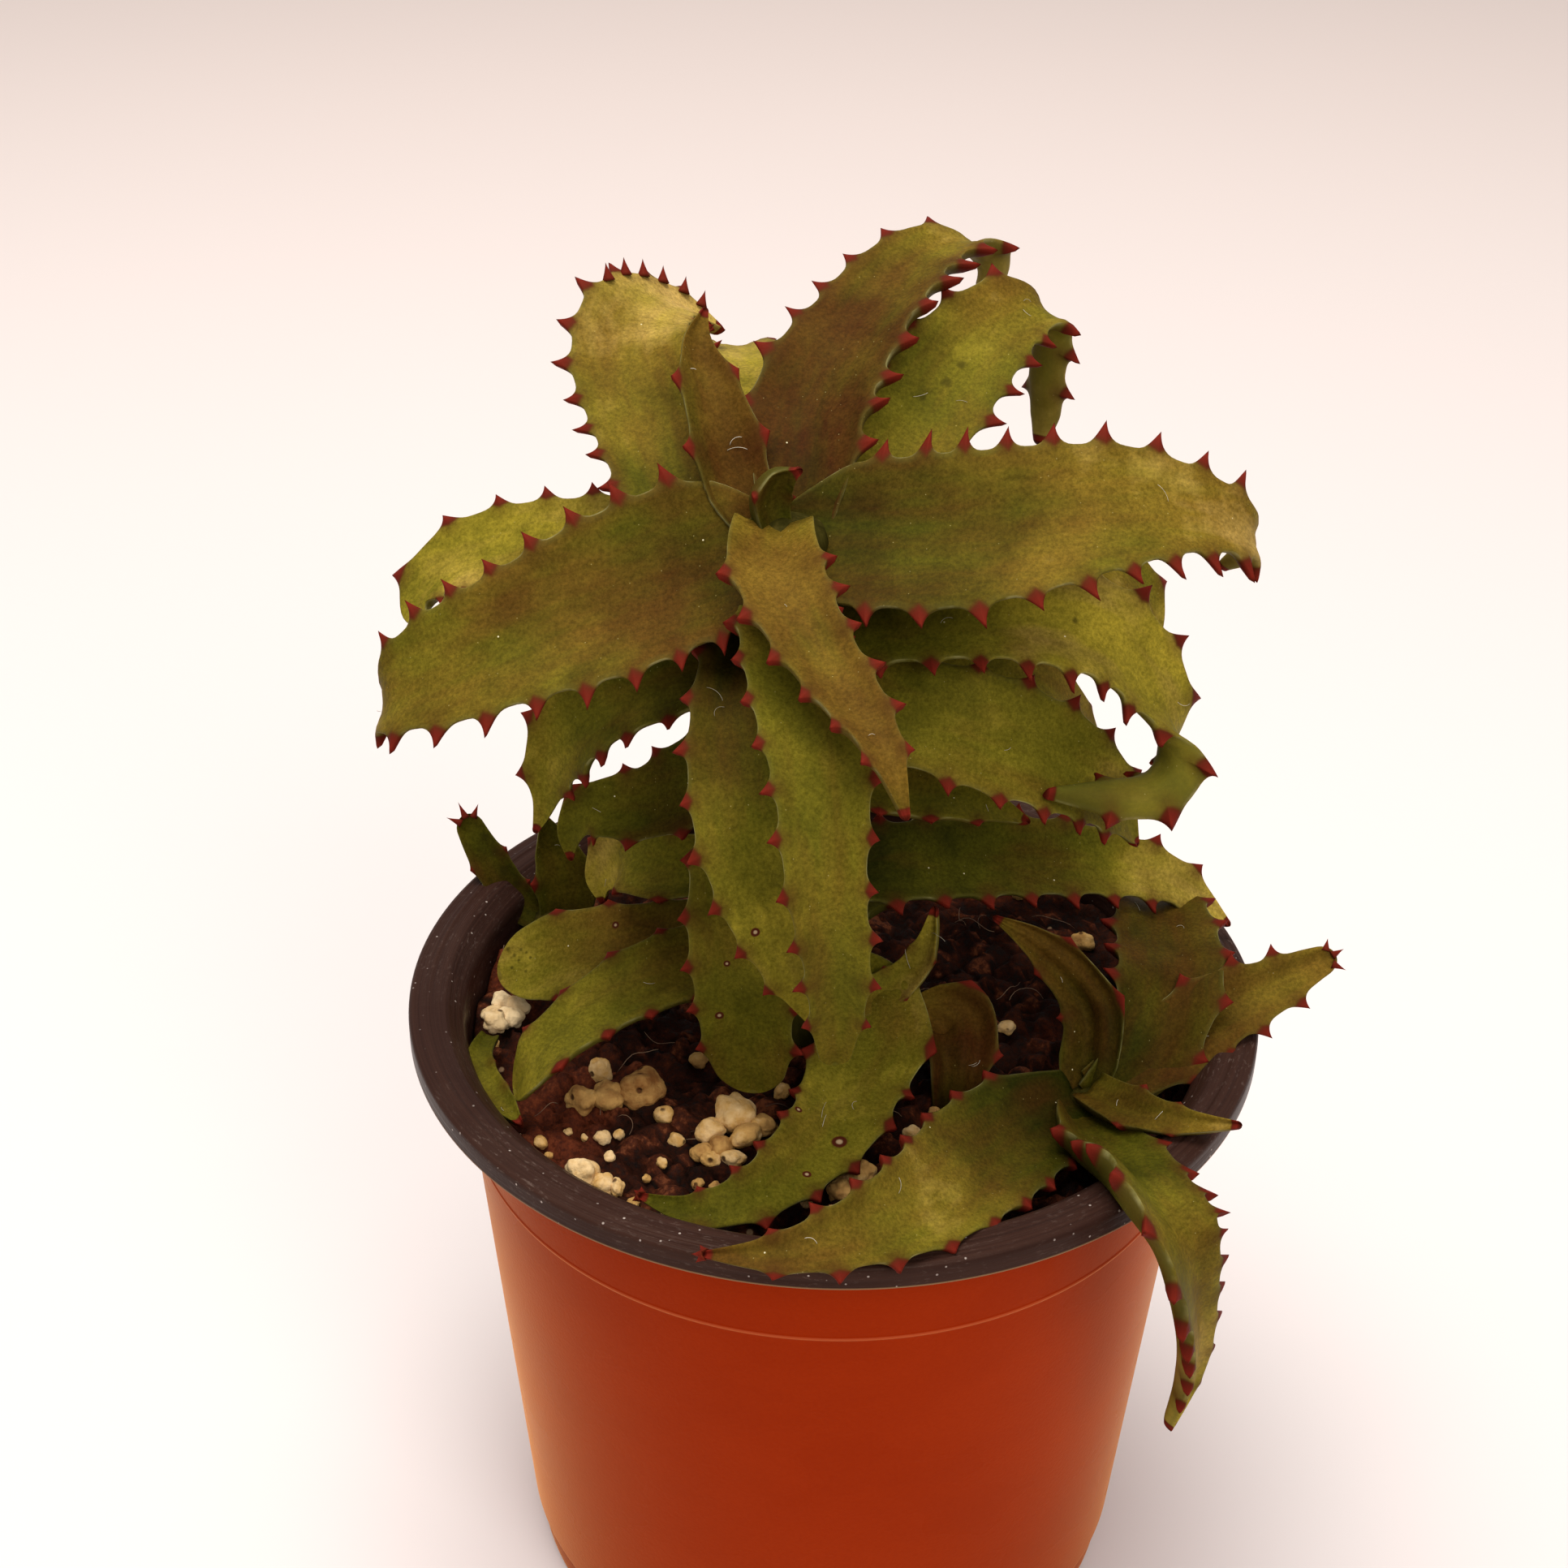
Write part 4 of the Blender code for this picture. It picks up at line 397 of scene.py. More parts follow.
def band_faces(rows, around):
    """Quads of a grid that closes round: each row of `around` points joins the next row."""
    i = np.arange(rows - 1)[:, None] * around
    k = np.arange(around)[None, :]
    m = (k + 1) % around
    return np.stack([i + k, i + m, i + around + m, i + around + k], axis=-1).reshape(-1, 4)


def closed_faces(rows, around, base=0, turned=False):
    """The quads of such a grid, and the triangles from its first and last row to the two poles.

    The poles are the two points that follow the grid's own. Base is the number of the grid's
    first point, and turned swaps the sides of all faces.
    """
    poles = rows * around
    k = np.arange(around)
    m, pole = (k + 1) % around, np.full(around, poles)
    last = np.array([poles - around, poles - around, 1])
    fans = np.vstack([np.stack([m, k, pole], axis=-1), np.stack([k, m, pole], axis=-1) + last])
    step = -1 if turned else 1
    return [band_faces(rows, around)[:, ::step] + base, fans[:, ::step] + base]


def put_closed(name, clouds, rows, around, finish, turned=False, **values):
    """One mesh of closed grids of the same size, each given as its points with its two poles."""
    faces = [closed_faces(rows, around, k * len(clouds[0]), turned) for k in range(len(clouds))]
    quads, fans = (np.vstack(part) for part in zip(*faces))
    return put_mesh(name, np.vstack(clouds), [quads, fans], finish, **values)


def circle(count):
    """Points evenly round the unit circle about Z, and their angles."""
    turn = np.linspace(0.0, 2.0 * math.pi, count, endpoint=False)
    return np.stack([np.cos(turn), np.sin(turn), np.zeros(count)], axis=-1), turn


def unit(vectors):
    """Each vector divided by its own length."""
    return vectors / np.linalg.norm(vectors, axis=-1, keepdims=True)


def clipped(values):
    """The values, with those below 0 and above 1 brought to that bound."""
    return np.clip(values, 0.0, 1.0)


def smooth_route(points):
    """A natural cubic spline through the points, as a function of the chord length."""
    points = np.asarray(points, float)
    steps = np.linalg.norm(np.diff(points, axis=0), axis=1)
    knots = np.concatenate([[0.0], np.cumsum(steps)])
    count = len(points)
    system = np.zeros((count, count))
    right = np.zeros((count, points.shape[1]))
    system[0, 0] = system[-1, -1] = 1.0
    inner = np.arange(1, count - 1)
    system[inner, inner - 1] = steps[:-1]
    system[inner, inner] = 2.0 * (steps[:-1] + steps[1:])
    system[inner, inner + 1] = steps[1:]
    slopes = np.diff(points, axis=0) / steps[:, None]
    right[1:-1] = 6.0 * np.diff(slopes, axis=0)
    bend = np.linalg.solve(system, right)

    def at(s):
        s = np.asarray(s, float)
        i = np.clip(np.searchsorted(knots, s, side="right") - 1, 0, count - 2)
        a = ((knots[i + 1] - s) / steps[i])[:, None]
        b = ((s - knots[i]) / steps[i])[:, None]
        pull = (a ** 3 - a) * bend[i] + (b ** 3 - b) * bend[i + 1]
        return a * points[i] + b * points[i + 1] + pull * (steps[i][:, None] ** 2) / 6.0

    return at, knots


def leaf_frame(leaf, fractions):
    """Centre, direction, side, face normal and width at fractions of a leaf's length, and that."""
    route = np.asarray(leaf.route, float)
    at, knots = smooth_route(route[:, :3])
    fine = np.linspace(0.0, knots[-1], 400)
    run = at(fine)
    arc = np.concatenate([[0.0], np.cumsum(np.linalg.norm(np.diff(run, axis=0), axis=1))])
    where = np.interp(np.asarray(fractions) * arc[-1], arc, fine)
    step = knots[-1] * 0.001
    ahead, behind = np.minimum(where + step, knots[-1]), np.maximum(where - step, 0.0)
    direction = unit(at(ahead) - at(behind))
    looks = unit(np.asarray(leaf.looks, float))
    spots = np.linspace(0.0, 1.0, len(looks))
    look = np.stack([np.interp(fractions, spots, looks[:, k]) for k in range(3)], axis=1)
    normal = unit(look - np.sum(look * direction, axis=1, keepdims=True) * direction)
    side = np.cross(direction, normal)
    return at(where), direction, side, normal, np.interp(where, knots, route[:, 3]), arc[-1]


def leaf_stations(length, pitch):
    """Places along a leaf, close together on each tooth and near the tip.

    With them go the middles of the teeth, which fill the margin evenly, and the tip's place.
    """
    first = min(FIRST_TOOTH, 0.3 * length)
    teeth = max(1, int((length - first - 0.6 * pitch) / pitch))
    spacing = (length - first - 0.55 * pitch) / teeth
    middles = first + (np.arange(teeth) + 0.35) * spacing
    end = length + TIP_REACH
    run = np.concatenate([
        np.linspace(0.0, max(middles[0] - 0.55 * spacing, 0.1), 7),
        (middles[:, None] + TOOTH_STATIONS * spacing).ravel(),
        np.linspace(middles[-1] + 0.5 * spacing, length - 1.5, 6),
        end - TIP_STATIONS,
    ])
    return np.unique(run[(run >= 0.0) & (run < end)]), middles, spacing, end


def leaf_piece(number, leaf, finish):
    """A fleshy leaf with thorny margins, as a closed grid: stations along it, one loop round each.

    Across, u runs from -1 at the near margin to 1 at the far one over the upper face, and back
    below. The upper face is a shallow channel, the lower one a full keel, and both meet in a
    rounded margin. Along, the distance to the nearest tooth gives a cusp, a power of one minus
    twice that distance in pitches. It lifts the margin to the tooth's point and leaves a hollow
    curve between two teeth, and it also carries the point towards the leaf's tip.
    """
    rng = np.random.default_rng(number)
    length = leaf_frame(leaf, np.array([0.0, 1.0]))[5]
    run, middles, spacing, end = leaf_stations(length, leaf.pitch)
    share = np.minimum(run / length, 1.0)
    centre, direction, side, normal, width, length = leaf_frame(leaf, share)
    centre = centre + direction * np.maximum(run - length, 0.0)[:, None]
    # the tip closes in a quarter round
    tip_width = leaf.route[-1][3]
    round_off = max(TIP_REACH, 0.5 * tip_width)
    closing = np.sqrt(clipped(1.0 - clipped((run - end + round_off) / round_off) ** 2))
    half = width / 2.0 * closing
    size = np.clip(width / 7.0, 0.45, 1.0)
    # each tooth: distance to the nearest middle in pitches
    nearest = np.clip(np.round((run - middles[0]) / spacing), 0, len(middles) - 1).astype(int)
    off = (run - middles[nearest]) / spacing
    tooth = clipped(1.0 - 2.0 * np.abs(off)) ** TOOTH_SHARPNESS
    vary = 1.0 + TOOTH_VARIETY * (rng.random((len(middles), 2)) * 2.0 - 1.0)
    near, far = ((tooth * vary[nearest, k] * leaf.tooth * size * closing)[:, None] for k in (0, 1))

    theta = np.linspace(-0.5 * math.pi, 0.5 * math.pi, HALF_ROUND + 1)
    across = np.concatenate([np.sin(theta), np.sin(theta[::-1][1:-1])])
    under = np.concatenate([np.zeros(HALF_ROUND + 1), np.ones(HALF_ROUND - 1)])
    wide = np.abs(across)
    thorn = clipped((wide - 0.78) / 0.22) ** 2
    lift = np.where(across < 0.0, near, far)
    out = across * half[:, None] + np.sign(across) * (lift * thorn)
    thick = TIP_THICKNESS + (LEAF_THICKNESS - TIP_THICKNESS) * (1.0 - share) ** 0.7
    thick = (np.minimum(thick, 0.62 * width + 0.6) * closing)[:, None]
    dip = (leaf.channel * width * closing)[:, None]
    # the margin is a little fuller under each thorn
    flesh = 0.25 * tooth[:, None] * np.exp(-((wide - 0.9) / 0.09) ** 2) * size[:, None]
    edge = EDGE_THICKNESS / 2.0 * np.sqrt(clipped(1.0 - wide ** 8)) + flesh
    edge = edge * closing[:, None]
    top = edge - (dip + EDGE_THICKNESS / 2.0) * (1.0 - wide ** 2)
    keel = clipped(1.0 - wide ** 2.2) ** KEEL_FULLNESS
    low = -edge - (dip + thick - EDGE_THICKNESS / 2.0) * keel
    # slow swells along, a few soft ridges lengthwise, and puckers on some leaves
    phase = rng.random(6) * 6.28
    inner = 1.0 - wide ** 4
    swell = 0.10 * np.sin(run / 3.1 + phase[0]) + 0.12 * np.sin(run / 5.3 + phase[1])
    ridge = 0.09 * np.cos(7.5 * across + phase[2]) + 0.05 * np.cos(13.0 * across + phase[3])
    strength = 0.5 + 0.5 * np.sin(run / 9.0 + phase[4])[:, None]
    relief = (swell[:, None] * inner + (ridge * inner)[None, :] * strength) * closing[:, None]
    relief = relief * np.clip(width / 10.0, 0.3, 1.2)[:, None]
    fold = np.cos(5.6 * across[None, :] + 0.10 * run[:, None] + phase[5]) * inner
    fold = PUCKERS.get(number, 0.0) * fold * closing[:, None]
    relief = relief + fold * np.clip(width / 10.0, 0.3, 1.0)[:, None]
    up = np.where(under > 0.5, low - 0.5 * relief, top + relief)
    lean = TOOTH_LEAN_ROOT + (TOOTH_LEAN_TIP - TOOTH_LEAN_ROOT) * share
    hook = (lean * tooth ** 0.5)[:, None] * lift * thorn
    points = (centre[:, None, :] + side[:, None, :] * out[..., None]
              + normal[:, None, :] * up[..., None] + direction[:, None, :] * hook[..., None])
    tip = centre[-1] + direction[-1] * (end - run[-1])
    points = np.vstack([points.reshape(-1, 3), points[0].mean(axis=0), tip])

    # what the skin reads: place along and across, thorn, the blush round it, colour of the leaf
    # with its painted shade
    thorns = tooth[:, None] * thorn * clipped(leaf.tooth * size / 0.9)[:, None]
    end_spine = clipped((run - (end - 1.6)) / 1.2)[:, None] * float(tip_width < 3.0)
    thorns = np.maximum(thorns, end_spine * np.ones_like(thorns))
    inward = (1.0 - wide)[None, :] * half[:, None]
    blush = np.exp(-(off * spacing / 1.25) ** 2)[:, None] * np.exp(-(inward / 1.1) ** 2)
    tone_root, tone_middle, tone_tip, bronze_root, bronze_tip = leaf.tint
    # tone: the leaf's colour, with painted shade where it lies in shade, often at the root
    tone = np.interp(share, [0.0, 0.5, 1.0], [tone_root, tone_middle, tone_tip])
    bronze = bronze_root + (bronze_tip - bronze_root) * share
    offset = LEAF_OFFSET * number

    def each(value, root_value, tip_value):
        whole = np.broadcast_to(value, out.shape).ravel()
        return np.concatenate([whole, [root_value, tip_value]])

    return put_mesh(
        leaf.name + "_fine", points, closed_faces(*out.shape), finish,
        along=each(run[:, None] + offset, offset, offset + end), across=each(across, 0.0, 0.0),
        under=each(under, 0.5, 0.5), thorn=each(thorns, 0.0, end_spine[-1, 0]),
        blush=each(blush, 0.0, 0.6), tone=each(tone[:, None], tone_root, tone_tip),
        bronze=each(bronze[:, None], bronze_root, bronze_tip), wide=each(half[:, None], 4.0, 0.5))


def thorn_seats():
    """Where the extra thorns stand: foot, way, two directions across it, length and foot radius.

    On a blunt tip they fan out from the middle of the tip. On the crest they stand along the near
    margin and lean between up, outwards and the leaf's own direction.
    """
    seats = []
    rows = leaf_frame(LEAVES[CREST_LEAF - 1], CREST_SHARES)[:5]
    for centre, direction, side, normal, width in zip(*rows):
        way = unit(0.25 * direction - 0.45 * side + 0.30 * normal + np.array([0.0, 0.0, 0.6]))
        flat = unit(np.cross(direction, way))
        seats.append((centre - side * (width / 2.0 - 0.5), way, flat, np.cross(way, flat),
                      CREST_HEIGHT, CREST_THORN_RADIUS))
    for number, thorns in BLUNT_TIPS.items():
        rows = leaf_frame(LEAVES[number - 1], [0.98, 1.0])[:5]
        centre, direction, side, normal, width = (row[-1] for row in rows)
        half = width / 2.0
        middle = centre + direction * (TIP_REACH - half)
        for angle, reach in thorns:
            way = direction * math.cos(angle) + side * math.sin(angle)
            seats.append((middle + way * 0.7 * half, way, np.cross(normal, way), normal,
                          reach + 0.3 * half, BLUNT_THORN_RADIUS))
    return seats


def extra_thorns(finish, rows=7, around=10):
    """Thorns on blunt tips and along a crest: cones whose radius falls off as a power of the
    distance to the point."""
    ring = circle(around)[0]
    s = np.linspace(0.0, 0.96, rows)
    cones = []
    for foot, way, flat, lift, length, stout in thorn_seats():
        across = ring[:, :1] * flat + ring[:, 1:2] * lift
        thin = stout * (1.0 - s) ** 1.3
        line = foot + way * (length * s)[:, None]
        cone = (line[:, None, :] + across[None] * thin[:, None, None]).reshape(-1, 3)
        cones.append(np.vstack([cone, line[0], line[-1] + way * 0.08]))
    thorn = np.concatenate([np.repeat(0.35 + 0.65 * s, around), [0.35, 1.0]])
    thorn = np.tile(thorn, len(cones))
    same = np.ones(len(thorn))
    return put_closed("extra_thorns", cones, rows, around, finish, thorn=thorn,
                      tone=0.45 * same, bronze=0.8 * same, wide=same, along=0.3 * thorn)


def tube_piece(name, low_radius, high_radius, axis, finish, sides=40, rows=60):
    """A stem: rings along a smooth axis, with leaf scars as low swellings round it."""
    at, knots = smooth_route(axis)
    where = np.linspace(0.0, knots[-1], rows)
    run = at(where)
    radii = np.linspace(low_radius, high_radius, rows) + 0.18 * np.sin(where * 1.9) - 0.05
    ring, turn = circle(sides)
    lumps = 1.0 + 0.02 * np.sin(3.0 * turn[None, :] + where[:, None] * 0.8)
    points = run[:, None, :] + ring[None] * (radii[:, None] * lumps)[..., None]
    top = run[-1] + (0.0, 0.0, 0.3 * high_radius)
    points = np.vstack([points.reshape(-1, 3), run[0], top])
    return put_mesh(name, points, closed_faces(rows, sides), finish)


def wall_radius(height):
    """Outer radius of the pot's wall: it grows in a straight line from the foot to the rim."""
    rise = (height - FOOT_HEIGHT) / (POT_HEIGHT - RIM_THICKNESS - FOOT_HEIGHT)
    return WALL_FOOT_RADIUS + (WALL_TOP_RADIUS - WALL_FOOT_RADIUS) * rise


def soil_height(x, y):
    """The soil's surface: a low mound that falls with the distance squared, three crossed waves,
    and the lump of loam as a bell."""
    distance = np.hypot(x, y) / WALL_TOP_RADIUS
    crumbs = (np.sin(0.53 * x + 1.3) * np.cos(0.47 * y - 0.4)
              + 0.7 * np.sin(0.91 * x - 0.8 * y + 2.0) + 0.6 * np.cos(1.31 * y + 0.9 * x))
    off = (x - LOAM_LUMP[0]) ** 2 + (y - LOAM_LUMP[1]) ** 2
    lump = LOAM_HEIGHT * np.exp(-off / LOAM_SPREAD)
    return SOIL_EDGE_HEIGHT + SOIL_MOUND * (1.0 - distance ** 2) + SOIL_CRUMB * crumbs + lump


def soil_piece(finish, rings=100, around=220):
    """Soil: the slow mound of the solid, with caps of many seeded crumbs of 0.9 to 3.9 mm on it.

    At each point of a round grid the crumb that stands highest there sets the height, and its
    own number sets the colour. The sides go straight down inside the wall, to a flat bottom.
    """
    rng = np.random.default_rng(5)
    edge = wall_radius(SOIL_EDGE_HEIGHT) - WALL - GAP
    radii = np.linspace(0.0, edge, rings + 1)[1:]
    ring = circle(around)[0]
    x, y = ((radii[:, None] * ring[:, k]).ravel() for k in (0, 1))
    height = np.full(len(x), -0.9)
    shade = np.full(len(x), 0.15)
    spot_r = edge * np.sqrt(rng.random(SOIL_CRUMBS))
    spot_t = rng.random(SOIL_CRUMBS) * 2.0 * math.pi
    spots = np.stack([spot_r * np.cos(spot_t), spot_r * np.sin(spot_t)], axis=-1)
    sizes = 0.45 + 1.5 * rng.random(SOIL_CRUMBS) ** 3
    lifts = rng.random(SOIL_CRUMBS) * 0.5 - 0.5
    shades = rng.random(SOIL_CRUMBS)
    for spot, radius, lift, tone in zip(spots, sizes, lifts, shades):
        gap = np.hypot(x - spot[0], y - spot[1])
        inside = gap < radius
        cap = np.sqrt(radius ** 2 - gap[inside] ** 2) * 0.95 + lift - 0.45 * radius
        higher = cap > height[inside]
        crumb = np.flatnonzero(inside)[higher]
        height[crumb] = cap[higher]
        shade[crumb] = tone
    low = clipped((edge - np.hypot(x, y)) / 1.5)
    top = np.stack([x, y, soil_height(x, y) + height * (0.4 + 0.6 * low)], axis=-1)
    foot, shoulder, bottom = FOOT_RADIUS - WALL - GAP, FOOT_HEIGHT + 1.6, BASE_THICKNESS + GAP
    walls = [ring * r + (0.0, 0.0, h) for r, h in [
        (wall_radius(shoulder) - WALL - GAP, shoulder), (foot, FOOT_HEIGHT), (foot, bottom)]]
    poles = [(0.0, 0.0, soil_height(0.0, 0.0)), (0.0, 0.0, bottom)]
    shades = np.concatenate([shade, np.full(3 * around + 2, 0.2)])
    return put_mesh("soil_crumbly", np.vstack([top, *walls, *poles]),
                    closed_faces(rings + 3, around, turned=True), finish, crumb=shades)


def lump_grid(radius, rng, rows, around, lobes=12, rough=0.18):
    """A stone-like grain: a ball whose radius swells towards a few seeded lobes, finely pitted."""
    lat = np.linspace(0.0, math.pi, rows + 2)[1:-1, None, None]
    ways = (np.sin(lat) * circle(around)[0] + np.cos(lat) * (0.0, 0.0, 1.0)).reshape(-1, 3)
    ways = np.vstack([ways, (0.0, 0.0, 1.0), (0.0, 0.0, -1.0)])
    tips = unit(rng.normal(size=(lobes, 3)))
    swell = np.max(np.exp(8.0 * (ways @ tips.T - 1.0)), axis=1)
    waves = sum(np.sin(ways @ unit(rng.normal(size=3)) * k + rng.random() * 6.28) / k
                for k in (6.0, 10.0, 16.0, 24.0))
    out = 0.78 + 0.28 * swell + rough * waves
    squash = np.array([rng.uniform(0.85, 1.15), rng.uniform(0.8, 1.1), rng.uniform(0.75, 0.95)])
    points = ways * out[:, None] * radius * squash
    turn = rng.random() * 6.28
    c, s = math.cos(turn), math.sin(turn)
    return points @ np.array([[c, s, 0.0], [-s, c, 0.0], [0.0, 0.0, 1.0]])


def grains_piece(name, grains, finish, seed, shade, rows=34, around=48):
    """Grains lying on the soil, joined in one mesh; each has its own paleness near the given one,
    which holds painted light: higher for a cluster in the light, lower for one in shade.
    """
    rng = np.random.default_rng(seed)
    clouds, shades = [], []
    for x, y, radius in grains:
        cloud = lump_grid(radius * 0.98, rng, rows, around)
        height = float(soil_height(x, y)) + radius * (1.0 - 2.0 * GRAIN_SINK)
        clouds.append(cloud + (x, y, height))
        shades.append(np.full(len(cloud), shade + rng.uniform(-0.25, 0.25)))
    return put_closed(name, clouds, rows, around, finish, turned=True,
                      crumb=np.concatenate(shades))


def threads(name, paths, radii, finish):
    """Fine threads: a four-sided tube round each path, closed at both ends."""
    corner = circle(4)[0]
    points, quads, base = [], [], 0
    for middle, thin in zip(paths, radii):
        way = unit(np.gradient(middle, axis=0))
        lift = unit(np.cross(way, (0.12, 0.05, 0.99)))
        over = np.cross(lift, way)
        ring = lift[:, None, :] * corner[:, :1] + over[:, None, :] * corner[:, 1:2]
        points.append((middle[:, None, :] + thin * ring).reshape(-1, 3))
        quads.append(band_faces(len(middle), 4) + base)
        last = base + (len(middle) - 1) * 4
        quads.append(np.array([[base + 3, base + 2, base + 1, base],
                               [last, last + 1, last + 2, last + 3]]))
        base += len(middle) * 4
    return put_mesh(name, np.vstack(points), [np.vstack(quads)], finish)


def short_arc(rng, bend, shortest, longest, steps):
    """A seeded arc from the origin: equal steps whose heading turns by the same angle each time."""
    heading, bend = rng.random() * 6.28, rng.uniform(-bend, bend)
    reach = rng.uniform(shortest, longest)
    angles = heading + bend * np.arange(steps)
    ways = np.stack([np.cos(angles), np.sin(angles)], axis=-1)
    return np.cumsum(ways, axis=0) * reach / steps


def roots_piece(finish):
    """Fine dry roots on the soil, along seeded arcs that rise a little in their middle."""
    rng = np.random.default_rng(11)
    paths, radii = [], []
    for _ in range(ROOTS):
        r, a = 46.0 * math.sqrt(rng.random()), rng.random() * 6.28
        path = np.array([r * math.cos(a), r * math.sin(a)]) + short_arc(rng, 0.35, 2.5, 8.0, 9)
        path = path[np.hypot(path[:, 0], path[:, 1]) < 46.5]
        if len(path) < 3:
            continue
        arch = np.sin(np.linspace(0.0, math.pi, len(path))) * rng.uniform(0.2, 1.4)
        height = soil_height(path[:, 0], path[:, 1]) + 0.35 + arch
        paths.append(np.column_stack([path, height]))
        radii.append(rng.uniform(0.035, 0.06))
    return threads("fine_roots", paths, radii, finish)


def lint_piece(finish):
    """Pale fibres on the leaves: short seeded arcs that lie on the upper face of a leaf."""
    rng = np.random.default_rng(23)
    steps = 8
    paths, radii = [], []
    for _ in range(FIBRES):
        leaf = LEAVES[int(rng.integers(0, LINTY_LEAVES))]
        share, across = rng.uniform(0.2, 0.9), rng.uniform(-0.6, 0.6)
        rows = leaf_frame(leaf, [share])[:5]
        centre, direction, side, normal, width = (row[0] for row in rows)
        run, aside = short_arc(rng, 0.3, 0.8, 3.0, steps).T
        aside = across * width / 2.0 + aside
        spread = clipped(2.0 * np.abs(aside) / width)
        arch = 0.15 * np.sin(np.linspace(0.0, math.pi, steps))
        rise = 0.42 - (leaf.channel * width + 0.35) * (1.0 - spread ** 2) + arch
        paths.append(centre + direction * run[:, None] + side * aside[:, None]
                     + normal * rise[:, None])
        radii.append(rng.uniform(0.02, 0.032))
    return threads("leaf_lint", paths, radii, finish)


def softened(corners, steps=5):
    """A profile of (radius, height, round) corners, each corner replaced by a quadratic curve.

    A point just beyond both ends of each curve keeps the straight parts evenly shaded.
    """
    line = [np.array(corners[0][:2])]
    for before, (radius, height, soft), after in zip(corners, corners[1:], corners[2:]):
        here = np.array((radius, height))
        ways = [np.array(before[:2]) - here, np.array(after[:2]) - here]
        shares = [min(0.45, soft / np.linalg.norm(way)) for way in ways]
        start, end = (here + way * share for way, share in zip(ways, shares))
        line.append(here + ways[0] * min(0.48, shares[0] * 1.6))
        line += [(1.0 - s) ** 2 * start + 2.0 * s * (1.0 - s) * here + s * s * end
                 for s in np.linspace(0.0, 1.0, steps)]
        line.append(here + ways[1] * min(0.48, shares[1] * 1.6))
    line.append(np.array(corners[-1][:2]))
    return np.array(line)


def drill_bits():
    """Six upright rods on the drain circle, as one object that the base is bored with."""
    drills = bmesh.new()
    for k in range(DRAIN_HOLES):
        angle = 2.0 * math.pi * (k + 0.5) / DRAIN_HOLES
        spot = Vector((math.cos(angle), math.sin(angle), 0.0)) * DRAIN_CIRCLE_RADIUS * MM
        bmesh.ops.create_cone(drills, cap_ends=True, segments=40, radius1=DRAIN_HOLE_RADIUS * MM,
                              radius2=DRAIN_HOLE_RADIUS * MM, depth=0.01,
                              matrix=Matrix.Translation(spot))
    mesh = bpy.data.meshes.new("drills")
    drills.to_mesh(mesh)
    drills.free()
    return stand("drills", mesh)


def pot_piece(finish, dark_finish, sides=200):
    """The pot: a closed profile turned about Z, with soft corners, a fine ring on the wall and two
    low ridges on the rim, then bored by six drills for the drain holes. The faces above the skirt's
    foot and inside the wall take the dark finish."""
    ring = SCRIBED_RING_HEIGHT
    skirt, under, lip = POT_HEIGHT - RIM_SKIRT, POT_HEIGHT - RIM_THICKNESS, POT_HEIGHT - 0.1
    corners = [
        (0.5, 0.0, 0.0), (FOOT_RADIUS, 0.0, 1.0), (FOOT_RADIUS, FOOT_HEIGHT, 0.3),
        (WALL_FOOT_RADIUS, FOOT_HEIGHT + 0.8, 0.5), (wall_radius(ring - 0.35), ring - 0.35, 0.12),
        (wall_radius(ring) + 0.16, ring, 0.15), (wall_radius(ring + 0.35), ring + 0.35, 0.12),
        (WALL_TOP_RADIUS, under, 0.4), (RIM_RADIUS - 1.0, under, 0.3),
        (RIM_RADIUS - 1.0, skirt, 0.12), (RIM_RADIUS, skirt, 0.15), (RIM_RADIUS, lip, 0.7),
        (RIM_RADIUS - 1.6, lip, 0.3), (RIM_RADIUS - 2.0, POT_HEIGHT, 0.2),
        (RIM_RADIUS - 2.6, POT_HEIGHT, 0.2), (RIM_RADIUS - 2.9, POT_HEIGHT - 0.15, 0.2),
        (RIM_INNER_RADIUS + 0.3, POT_HEIGHT - 0.15, 0.5),
        (WALL_TOP_RADIUS - WALL, POT_HEIGHT - 2.5, 0.8),
        (WALL_FOOT_RADIUS - WALL, FOOT_HEIGHT + 0.8, 0.5), (FOOT_RADIUS - WALL, FOOT_HEIGHT, 0.3),
        (FOOT_RADIUS - WALL, BASE_THICKNESS, 0.5), (0.5, BASE_THICKNESS, 0.0)]
    line = softened(corners)[:, None, :]
    turned = line[..., :1] * circle(sides)[0] + line[..., 1:] * (0.0, 0.0, 1.0)
    points = np.vstack([turned.reshape(-1, 3), (0.0, 0.0, 0.0), (0.0, 0.0, BASE_THICKNESS)])
    made = put_mesh("pot_fine", points, closed_faces(len(line), sides), finish)
    cutter = drill_bits()
    step = made.modifiers.new("drain_holes", "BOOLEAN")
    step.operation = "DIFFERENCE"
    step.object = cutter
    bored = bpy.data.meshes.new_from_object(
        made.evaluated_get(bpy.context.evaluated_depsgraph_get()))
    made.modifiers.clear()
    made.data = bored
    bored.materials.append(dark_finish)
    middles = np.empty(3 * len(bored.polygons))
    bored.polygons.foreach_get("center", middles)
    x, y, z = middles.reshape(-1, 3).T / MM
    inside = (np.hypot(x, y) < wall_radius(z) - 0.5 * WALL) & (z > DARK_INSIDE_FROM)
    dark = inside | (z > DARK_RIM_FROM)
    bored.polygons.foreach_set("material_index", dark.astype(np.int32))
    bpy.data.objects.remove(cutter, do_unlink=True)
    return made


# Materials

